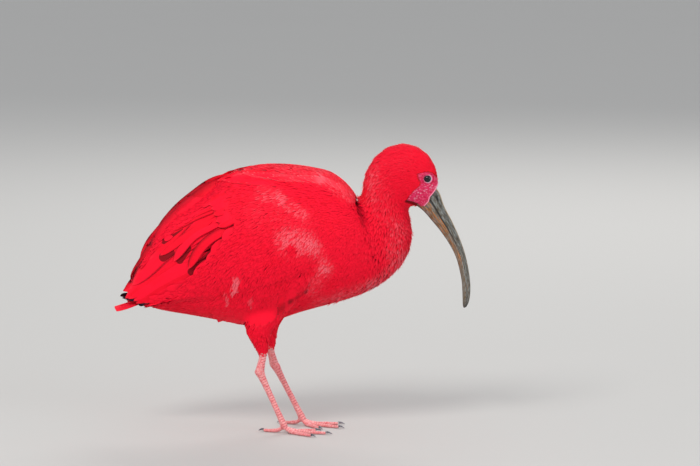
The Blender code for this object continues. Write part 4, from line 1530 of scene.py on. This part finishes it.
@dataclass
class Skin:
    """One skin over all the flesh, inside the coat by its depth and bare on the face and legs."""

    nodes: tuple[str, ...]
    lie: PlumeField
    eye: tuple[float, float, float]
    limbs: tuple[Limb, ...]
    voxel: float = 1.3
    smoothing: int = 14
    bridge: float = 0.6
    coated_faces: int = 12_000
    leg_top: float = 97.5
    opening: float = 5.0
    lid_reach: float = 6.85
    lid_stretch: float = 1.04
    lids_end: float = 14.0
    socket: float = 2.6
    bill_line: tuple[tuple[float, float], ...] = (
        (213.5, 302), (212.2, 299.4), (209.4, 293.2), (205.7, 287.8),
        (201.1, 282.4), (200.2, 277.3), (194.7, 271), (191.5, 267),
    )
    rim_inset: float = 0.5
    rim_width: float = 0.75
    rim_height: float = 0.3
    under_bill: float = 3.2
    under_slope: float = 1.6
    under_reach: tuple[float, float] = (250.0, 258.0)
    shade: float = 0.25
    pebble_height: float = 0.28
    fleck_band: tuple[float, float] = (182.0, 284.0)
    fleck_slope: float = 0.55
    fleck_width: float = 4.5
    folds: tuple[tuple[float, float, float], ...] = (
        (0.55, 0.9, 0.55), (-0.35, 2.0, 0.4), (0.35, 2.9, 0.6), (-0.2, 4.0, 0.5),
    )

    def build(self, material: bpy.types.Material) -> bpy.types.Object:
        """Make the skin.

        Args:
            material: Its material.

        Returns:
            The skin, which stands for the nodes of flesh.
        """
        made = fused("skin", self.nodes, self.voxel, self.smoothing, self.bridge)
        self._thin_out(made)
        self._refine(made)
        points, normals = corners_of(made.data)
        bare, limb = self._bare(points), 1 - ease(self.leg_top - 1.5, self.leg_top + 1.0, points[:, 2])
        depth = self.lie.at(points)[:, 4] * (1 - bare) * (1 - limb)
        run, front = self._plates(points)
        pebble = self._pebbles(points, bare)
        raised = pebble * self.pebble_height * bare + self._plate_height(run, front) * limb
        raised = raised + self._lids(points)
        past = self._past_face(points)
        # The rim is a raised edge of the face along the bill; its pale colour is a painted highlight.
        rim = np.exp(-(((past + self.rim_inset) / self.rim_width) ** 2)) * bare
        under = ease(0.0, self.under_slope, past) * ease(*self.under_reach, points[:, 2])
        raised = raised + self.rim_height * rim - self.under_bill * under
        right, up = points[:, 0] - self.fleck_band[0], points[:, 2] - self.fleck_band[1]
        band = np.exp(-(((up - self.fleck_slope * right) / self.fleck_width) ** 2))
        inwards = self.bridge * (1 - 0.4 * limb) + depth
        places = self._domed(points + normals * (raised - inwards)[:, None])
        places[:, 2] = np.maximum(places[:, 2], 0.0)
        set_points(made.data, places)
        # Painted shade: the skin is darkened all over by its shade, and more under the painted shadows.
        dark = np.clip(marked(points, Mark.DARK) + self.shade, 0, 1)
        give(made.data, bare=bare, limb=limb, pebble=pebble, run=run, front=front)
        give(made.data, rim=rim, band=band, dark=dark)
        made.data.shade_smooth()
        return dress(made, material, "bare_skin", *self.nodes)

    def _detail(self, points: Array) -> Array:
        """Where the skin shows and is kept fine."""
        near_face = (BARE_FACE.distance(points) < 2.5) & (np.abs(points[:, 1]) > 2)
        return near_face | (points[:, 2] < self.leg_top + 2)

    def _thin_out(self, made: bpy.types.Object) -> None:
        """Make the faces under the coat fewer."""
        points, _ = corners_of(made.data)
        coated = np.flatnonzero(~self._detail(points))
        group = made.vertex_groups.new(name="coated")
        group.add(coated.tolist(), 1.0, "REPLACE")
        fewer = made.modifiers.new("fewer", "DECIMATE")
        fewer.vertex_group = "coated"
        faces = len(made.data.polygons)
        shown = faces * (1 - len(coated) / len(points))
        fewer.ratio = min(1.0, (shown + self.coated_faces) / faces)
        settle(made)

    def _refine(self, made: bpy.types.Object) -> None:
        """Make the faces finer on the face and the legs."""
        work = bmesh.new()
        work.from_mesh(made.data)
        for face_only in (False, True):
            work.verts.ensure_lookup_table()
            places = from_frame(np.array([vert.co for vert in work.verts]))
            wanted = self._detail(places)
            if face_only:
                wanted &= BARE_FACE.distance(places) < 0.8
            work.verts.index_update()
            edges = [edge for edge in work.edges if all(wanted[vert.index] for vert in edge.verts)]
            bmesh.ops.subdivide_edges(work, edges=edges, cuts=1, use_grid_fill=True)
            bmesh.ops.triangulate(work, faces=[face for face in work.faces if len(face.verts) > 4])
            work.verts.ensure_lookup_table()
            places = from_frame(np.array([vert.co for vert in work.verts]))
            chosen = np.flatnonzero(self._detail(places))
            verts = [work.verts[i] for i in chosen]
            for _ in range(2):
                bmesh.ops.smooth_vert(
                    work, verts=verts, factor=0.5, use_axis_x=True, use_axis_y=True, use_axis_z=True
                )
        work.to_mesh(made.data)
        work.free()

    def _bare(self, points: Array) -> Array:
        """Where the face is bare, from 0 to 1."""
        return (1 - ease(-0.8, 0.8, BARE_FACE.distance(points))) * ~forehead(points)

    def _pebbles(self, points: Array, bare: Array) -> Array:
        """The height of the fine pebbles and wrinkles of the bare face, from 0 to 1."""
        height = np.zeros(len(points))
        for i in np.flatnonzero(bare > 0.01):
            place = Vector(points[i])
            near = noise.voronoi(place * 0.75)[0][0]
            fold = noise.noise(Vector((place.x * 0.35, place.y * 0.2, place.z * 0.9)))
            height[i] = 0.75 * (1 - min(near, 1.0)) + 0.45 * fold
        return np.clip(height, 0, 1)

    def _lids(self, points: Array) -> Array:
        """The folds round the eye."""
        x, y, z = self.eye
        radius = np.hypot((points[:, 0] - x) / self.lid_stretch, points[:, 2] - z)
        near = ease(abs(y) - 6, abs(y) - 1, np.abs(points[:, 1])) * (radius < self.lids_end)
        height = -self.socket * (1 - ease(self.opening - 0.35, self.opening + 0.35, radius))
        for rise, out, spread in self.folds:
            height = height + rise * np.exp(-(((radius - self.opening - out) / spread) ** 2))
        return near * height

    def _domed(self, points: Array) -> Array:
        """Points with the skin round each eye drawn over the eyeball as its lids."""
        x, y, z = self.eye
        radius, height = np.hypot(points[:, 0] - x, points[:, 2] - z), np.abs(points[:, 1])
        shell = y + np.sqrt(np.clip(self.lid_reach**2 - radius**2, 0, None))
        near = (radius < self.lid_reach) & (height > y - 3)
        over = ease(self.opening - 0.3, self.opening + 0.1, radius) * near
        points[:, 1] += np.sign(points[:, 1]) * over * np.maximum(shell - height, 0)
        return points

    def _past_face(self, points: Array) -> Array:
        """How far points lie past the line where the face ends, on the bill's side of it."""
        gap, past = np.full(len(points), np.inf), np.full(len(points), -np.inf)
        for start, end in zip(self.bill_line, self.bill_line[1:]):
            away = np.linalg.norm(beside(points[:, [0, 2]], start, end)[1], axis=1)
            right, up = points[:, 0] - start[0], points[:, 2] - start[1]
            beyond = np.sign((end[0] - start[0]) * up - (end[1] - start[1]) * right)
            past = np.where(away < gap, beyond * away, past)
            gap = np.minimum(gap, away)
        return past

    def _plates(self, points: Array) -> tuple[Array, Array]:
        """The run along the nearest limb, in millimetres, and how far to its front each point is."""
        run, front, best = np.zeros(len(points)), np.zeros(len(points)), np.full(len(points), np.inf)
        for number, limb in enumerate(self.limbs):
            share, away = beside(points, limb.start, limb.end)
            along = share * math.dist(limb.start, limb.end)
            gap = np.linalg.norm(away, axis=1) - limb.radius
            nearer = gap < best
            best = np.where(nearer, gap, best)
            run = np.where(nearer, along + number * PLATE_RUN * 7, run)
            facing = (unit(away) * np.array(limb.front)).sum(1)
            front = np.where(nearer, ease(-0.05, 0.35, facing), front)
        return run, front

    @staticmethod
    def _plate_height(run: Array, front: Array) -> Array:
        """The relief of the plates across the front of the legs and the tops of the toes."""
        wave = np.sin(run * 2 * np.pi / PLATE_RUN)
        return 0.16 * front * np.clip(wave + 0.75, 0, 1) - 0.08


@dataclass(frozen=True)
class Chord:
    """One section of the bill: its ends on the ridge and below, and its half width."""

    back: tuple[float, float]
    front: tuple[float, float]
    half_width: float


@dataclass
class Bill:
    """The long bill, curved down, in two halves with grooved sides and a fine mouth line."""

    chords: tuple[Chord, ...] = (
        Chord((203, 297), (184.5, 272), 8.6),
        Chord((212.2, 288), (194, 264.5), 8.2),
        Chord((218.5, 271), (204.6, 252.2), 6.9),
        Chord((228, 252.5), (214.6, 240), 5.7),
        Chord((236.8, 233), (224.4, 225.6), 4.9),
        Chord((243.2, 215), (232.4, 210), 4.4),
        Chord((247.6, 196.5), (236.9, 194.6), 4.1),
        Chord((250.1, 178), (239.9, 178.8), 3.8),
        Chord((250.1, 164.5), (240.8, 163.4), 3.4),
        Chord((248.2, 154), (241.2, 151.4), 2.8),
        Chord((245.4, 148.6), (242.4, 147.6), 1.5),
    )
    steps: int = 12
    arc: int = 28
    floor_points: int = 4
    mouth: float = 0.16
    fullness: float = 0.86
    lip: float = 0.10
    groove_turn: float = 50.0
    groove_depth: float = 0.75
    nostril: tuple[float, float] = (0.085, 0.15)

    def build(self) -> list[bpy.types.Object]:
        """Make both halves.

        Returns:
            The upper and the lower half.
        """
        made = []
        for name, lower in (("bill_upper", False), ("bill_lower", True)):
            half = self._half(f"{name}_horn", lower)
            made.append(dress(half, BillFinish(lower_half=lower).material(), "bill", name))
            half.data.shade_smooth()
            half.data.set_sharp_from_angle(angle=math.radians(60))
        return made

    def _half(self, title: str, lower: bool) -> bpy.types.Object:
        """One half: a ring of points drawn out along the bill."""
        chords = [(*chord.back, *chord.front, chord.half_width) for chord in self.chords]
        rows = curve_between(chords, self.steps)
        work = bmesh.new()
        count = self.arc + 1 + self.floor_points
        ring = bmesh.ops.create_circle(work, segments=count, radius=MM)["verts"]
        values = {"along": [], "around": [], "groove": []}
        for place, row in enumerate(rows):
            share = place / (len(rows) - 1)
            if place:
                edges = [work.edges.get((ring[i], ring[(i + 1) % count])) for i in range(count)]
                fresh = set(bmesh.ops.extrude_edge_only(work, edges=edges)["geom"])
                ends = [[edge.other_vert(old) for edge in old.link_edges] for old in ring]
                ring = [next(vert for vert in near if vert in fresh) for near in ends]
            points, turns, cuts = self._ring(row, share, lower)
            for vert, point in zip(ring, points):
                vert.co = Vector(to_frame(point))
            for name, numbers in zip(values, ([share] * count, turns, cuts)):
                values[name] += numbers
        bmesh.ops.holes_fill(work, edges=[edge for edge in work.edges if edge.is_boundary], sides=0)
        bmesh.ops.recalc_face_normals(work, faces=work.faces)
        work.verts.index_update()
        made = object_from(work, title)
        give(made.data, **values)
        return made

    def _ring(self, row: Array, share: float, lower: bool) -> tuple[Array, list[float], list[float]]:
        """The points round one half at one section, their turns from the ridge, and the grooves there."""
        back, front = np.array([row[0], 0, row[1]]), np.array([row[2], 0, row[3]])
        down = front - back
        half = np.linalg.norm(down) / 2
        down = unit(down)
        middle = (back + front) / 2
        sign = 1 if lower else -1
        points, turns, cuts = [], [], []
        for i in range(self.arc + 1):
            turn = -90 + 180 * i / self.arc
            cut = self._groove(turn, share, lower)
            lip = 1 - self.lip * float(ease(80, 90, np.array(abs(turn))))
            reach = sign * max(math.cos(math.radians(turn)) * half, self.mouth)
            across = math.copysign(abs(math.sin(math.radians(turn))) ** self.fullness, turn) * row[4] * lip
            depth = 1 - cut * self.groove_depth / max(row[4], 1.0)
            points.append(middle + down * (reach * depth) + np.array([0, across * depth, 0]))
            turns.append(turn / 90)
            cuts.append(cut)
        width = abs(points[-1][1])
        for i in range(self.floor_points):
            across = width * (1 - 2 * (i + 1) / (self.floor_points + 1))
            points.append(middle + down * (sign * self.mouth) + np.array([0, across, 0]))
            turns.append(1.0)
            cuts.append(1.0)
        return np.array(points), turns, cuts

    def _groove(self, turn: float, share: float, lower: bool) -> float:
        """How deep the groove on each side is, from 0 to 1. The nostril is a slit in the upper one."""
        fade = float(ease(0.02, 0.1, np.array(share)) * (1 - ease(0.5, 0.85, np.array(share))))
        place = self.groove_turn + (8 if lower else 0)
        line = math.exp(-(((abs(turn) - place) / 6.5) ** 2)) * fade * (0.35 if lower else 0.7)
        start, end = self.nostril
        if not lower and start < share < end:
            slit = math.sin(math.pi * (share - start) / (end - start))
            line += 1.1 * slit * math.exp(-(((abs(turn) - place) / 7.0) ** 2))
        return min(line, 1.6)


@dataclass
class Eyes:
    """Both eyes with their clear front and the rim of each lid."""

    place: tuple[float, float, float] = (198.5, 9.4, 304.9)
    radius: float = 6.6
    opening: float = 4.95
    lid: float = 0.5
    bulge: float = 0.3
    clear_front: tuple[float, float] = (0.78, 0.97)
    disc_shift: tuple[float, float] = (-0.35, 0.35)
    stand_off: float = 0.15
    corner: float = 0.07
    flatness: float = 0.97

    def build(self, skin: bpy.types.Material) -> list[bpy.types.Object]:
        """Make the eyes and lids.

        Args:
            skin: The material of the lids.

        Returns:
            The pieces.
        """
        x, z = self.place[0] + self.disc_shift[0], self.place[2] + self.disc_shift[1]
        surface = EyeFinish(x, z).material()
        made = []
        for word, side in SIDES.items():
            made.append(dress(self._ball(f"eyeball_{word}", side), surface, "eye", f"eye_{word}"))
            made.append(dress(self._lid(f"eyelid_{word}", side), skin, "bare_skin"))
        return made

    def _seated(self, work: bmesh.types.BMesh, name: str, side: int) -> bpy.types.Object:
        """A piece made round the origin, facing up, moved to one eye and turned to that side."""
        centre = Vector(to_frame(np.array([self.place[0], self.place[1] * side, self.place[2]])))
        turn = Matrix.Rotation(-side * math.pi / 2, 4, "X")
        bmesh.ops.transform(work, matrix=Matrix.Translation(centre) @ turn, verts=work.verts)
        made = object_from(work, name)
        made.data.shade_smooth()
        return made

    def _ball(self, name: str, side: int) -> bpy.types.Object:
        """One eyeball, its clear front a little proud."""
        work = bmesh.new()
        bmesh.ops.create_uvsphere(work, u_segments=48, v_segments=32, radius=self.radius * MM)
        for vert in work.verts:
            front = vert.co.normalized().z
            vert.co *= 1 + self.bulge / self.radius * float(ease(*self.clear_front, np.array(front)))
        return self._seated(work, name, side)

    def _lid(self, name: str, side: int) -> bpy.types.Object:
        """The rim of the lid, a ring that hugs the eyeball and comes to a faint corner fore and aft."""
        work = bmesh.new()
        section = bmesh.ops.create_circle(work, segments=10, radius=self.lid * MM)["verts"]
        stand = math.sqrt(self.radius**2 - self.opening**2) + self.stand_off
        move = Matrix.Translation(Vector((self.opening, 0, stand)) * MM)
        bmesh.ops.transform(work, matrix=move @ Matrix.Rotation(math.pi / 2, 4, "X"), verts=section)
        bmesh.ops.spin(
            work, geom=[*section, *work.edges], cent=(0, 0, 0), axis=(0, 0, 1), dvec=(0, 0, 0),
            angle=2 * math.pi, steps=64, use_merge=True,
        )
        bmesh.ops.remove_doubles(work, verts=work.verts, dist=WELD)
        bmesh.ops.recalc_face_normals(work, faces=work.faces)
        for vert in work.verts:
            turn = math.atan2(vert.co.y, vert.co.x)
            vert.co.x *= 1 + self.corner * abs(math.cos(turn)) ** 10
            vert.co.y *= self.flatness
        made = self._seated(work, name, side)
        whole = np.ones(len(made.data.vertices))
        give(made.data, bare=whole, pebble=0.4 * whole, rim=0.35 * whole)
        return made


@dataclass
class Claws:
    """The claws, each a smoother copy of its CAD node."""

    rounding: int = 2

    def build(self, material: bpy.types.Material) -> list[bpy.types.Object]:
        """Make the claws.

        Args:
            material: Their horn.

        Returns:
            The claws.
        """
        made = []
        for word in SIDES:
            for toe in TOES:
                node = f"claw_{toe}_{word}"
                claw = object_from(welded(node), f"{node}_horn")
                rounder = claw.modifiers.new("rounder", "SUBSURF")
                rounder.levels = rounder.render_levels = self.rounding
                settle(claw)
                claw.data.shade_smooth()
                made.append(dress(claw, material, "claw", node))
        return made


@dataclass
class Studio:
    """Floor, light and camera."""

    target: tuple[float, float, float] = (0.0691, 0.0, 0.2382)
    distance: float = 5.0
    elevation: float = 7.0
    lens: float = 214.3
    floor_size: float = 300.0

    def build(self) -> None:
        """Make the floor, the lights and the camera."""
        self._floor()
        self._world()
        self._light("key", (-1.3, -2.6, 2.9), 1.5, 78.0, (1.0, 0.98, 0.96))
        self._light("fill", (2.4, -2.2, 1.3), 2.2, 22.0, (0.95, 0.97, 1.0))
        self._light("back", (0.6, 2.6, 2.2), 1.8, 34.0, (1.0, 0.98, 0.96))
        self._camera()

    def _floor(self) -> None:
        """A wide level floor."""
        work = bmesh.new()
        bmesh.ops.create_grid(work, x_segments=1, y_segments=1, size=self.floor_size / 2)
        floor = object_from(work, "floor")
        floor.data.materials.append(FloorFinish().material())

    def _world(self) -> None:
        """Even light from all sides."""
        world = bpy.data.worlds.new("studio")
        world.use_nodes = True
        shader = world.node_tree.nodes["Background"]
        shader.inputs["Color"].default_value = linear(238, 240, 244)
        shader.inputs["Strength"].default_value = 0.72
        bpy.context.scene.world = world

    def _light(
        self, name: str, place: tuple[float, float, float], size: float, power: float, colour: tuple
    ) -> None:
        """One large soft light that faces the bird."""
        data = bpy.data.lights.new(name, "AREA")
        data.shape, data.size, data.energy, data.color = "DISK", size, power, colour
        lamp = bpy.data.objects.new(name, data)
        lamp.location = place
        aim = Vector((0.0, 0.0, 0.2)) - lamp.location
        lamp.rotation_euler = aim.to_track_quat("-Z", "Y").to_euler()
        bpy.context.scene.collection.objects.link(lamp)

    def _camera(self) -> None:
        """The camera at the photograph's angle."""
        data = bpy.data.cameras.new("camera")
        data.lens, data.sensor_width = self.lens, 36.0
        data.clip_end = 500.0
        camera = bpy.data.objects.new("camera", data)
        lift = math.radians(self.elevation)
        away = Vector((0.0, -math.cos(lift), math.sin(lift)))
        camera.location = Vector(self.target) + away * self.distance
        camera.rotation_euler = (-away).to_track_quat("-Z", "Y").to_euler()
        bpy.context.scene.collection.objects.link(camera)
        bpy.context.scene.camera = camera
        bpy.context.scene.view_settings.view_transform = "Standard"


FLESH = (
    "head",
    "neck_upper",
    "neck_lower",
    "trunk",
    *(f"{part}_{word}" for part in ("wing_coverts", "thigh", "shank", "tarsus") for word in SIDES),
    *(f"toe_{toe}_{word}" for toe in TOES for word in SIDES),
)
QUILLS = ("tail", *(f"{part}_{word}" for part in ("wing_quills", "wing_tip") for word in SIDES))


def table_box(node: str) -> tuple[Array, Array]:
    """The lowest and highest corners of a CAD node in the tables' millimetres."""
    low, high = (from_frame(np.array(corner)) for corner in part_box(node))
    return low, high


def leg_limbs(leg_radius: float = 4.5, toe_height: float = 2.4) -> tuple[Limb, ...]:
    """The bare lengths of both legs, read from the CAD nodes' boxes."""
    limbs = []
    for word in SIDES:
        for part in ("shank", "tarsus"):
            low, high = table_box(f"{part}_{word}")
            y = (low[1] + high[1]) / 2
            back, front = low[0] + leg_radius, high[0] - leg_radius
            limbs.append(Limb((back, y, high[2]), (max(front, back), y, low[2]), 4.0, (0.97, 0, 0.24)))
        joint = np.array([high[0] - leg_radius, y, 4.0])
        for toe in TOES:
            low, high = table_box(f"toe_{toe}_{word}")
            ends = [np.array([x, y, toe_height]) for x in (low[0], high[0]) for y in (low[1], high[1])]
            end = max(ends, key=lambda corner: np.linalg.norm(corner - joint))
            limbs.append(Limb(tuple(joint), tuple(end), 2.8, (0, 0, 1)))
    return tuple(limbs)


def main() -> None:
    """Build the scene piece by piece."""
    logging.basicConfig(level=logging.INFO, format="%(message)s")
    Studio().build()
    LOG.info("studio ready")
    lie = PlumeField(PLUMES)
    eyes = Eyes()
    bare = SkinFinish().material()
    skin = Skin(FLESH, lie, eyes.place, leg_limbs()).build(bare)
    LOG.info("skin: %d faces", len(skin.data.polygons))
    for thing in [*eyes.build(bare), *Bill().build(), *Claws().build(ClawFinish().material())]:
        LOG.info("%s: %d faces", thing.name, len(thing.data.polygons))
    outline = Outline((*FLESH, *QUILLS))
    LOG.info("outline: %d faces", len(outline.faces))
    coat = Coat(outline, PlumageFinish().material())
    body = BodyFeathers(outline, lie, coat).build()
    LOG.info("body feathers: %d pieces", len(body))
    wings = WingFeathers(outline, coat).build()
    tail = TailFeathers(coat).build()
    TailFeathers(coat, "tail_coverts", 8, (-96, 184), (-163, 158), 9.36, 12.0, seed=6).build()
    TailFeathers(coat, "rump_feathers", 7, (-92, 216), (-158, 176), 6.48, 13.0, seed=8).build()
    for word in SIDES:
        for row, node in (("primaries", "wing_tip"), ("secondaries", "wing_quills")):
            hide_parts(f"{node}_{word}")
    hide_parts("tail")
    LOG.info("coat: %d triangles", coat.triangles)


if __name__ == "__main__":
    main()
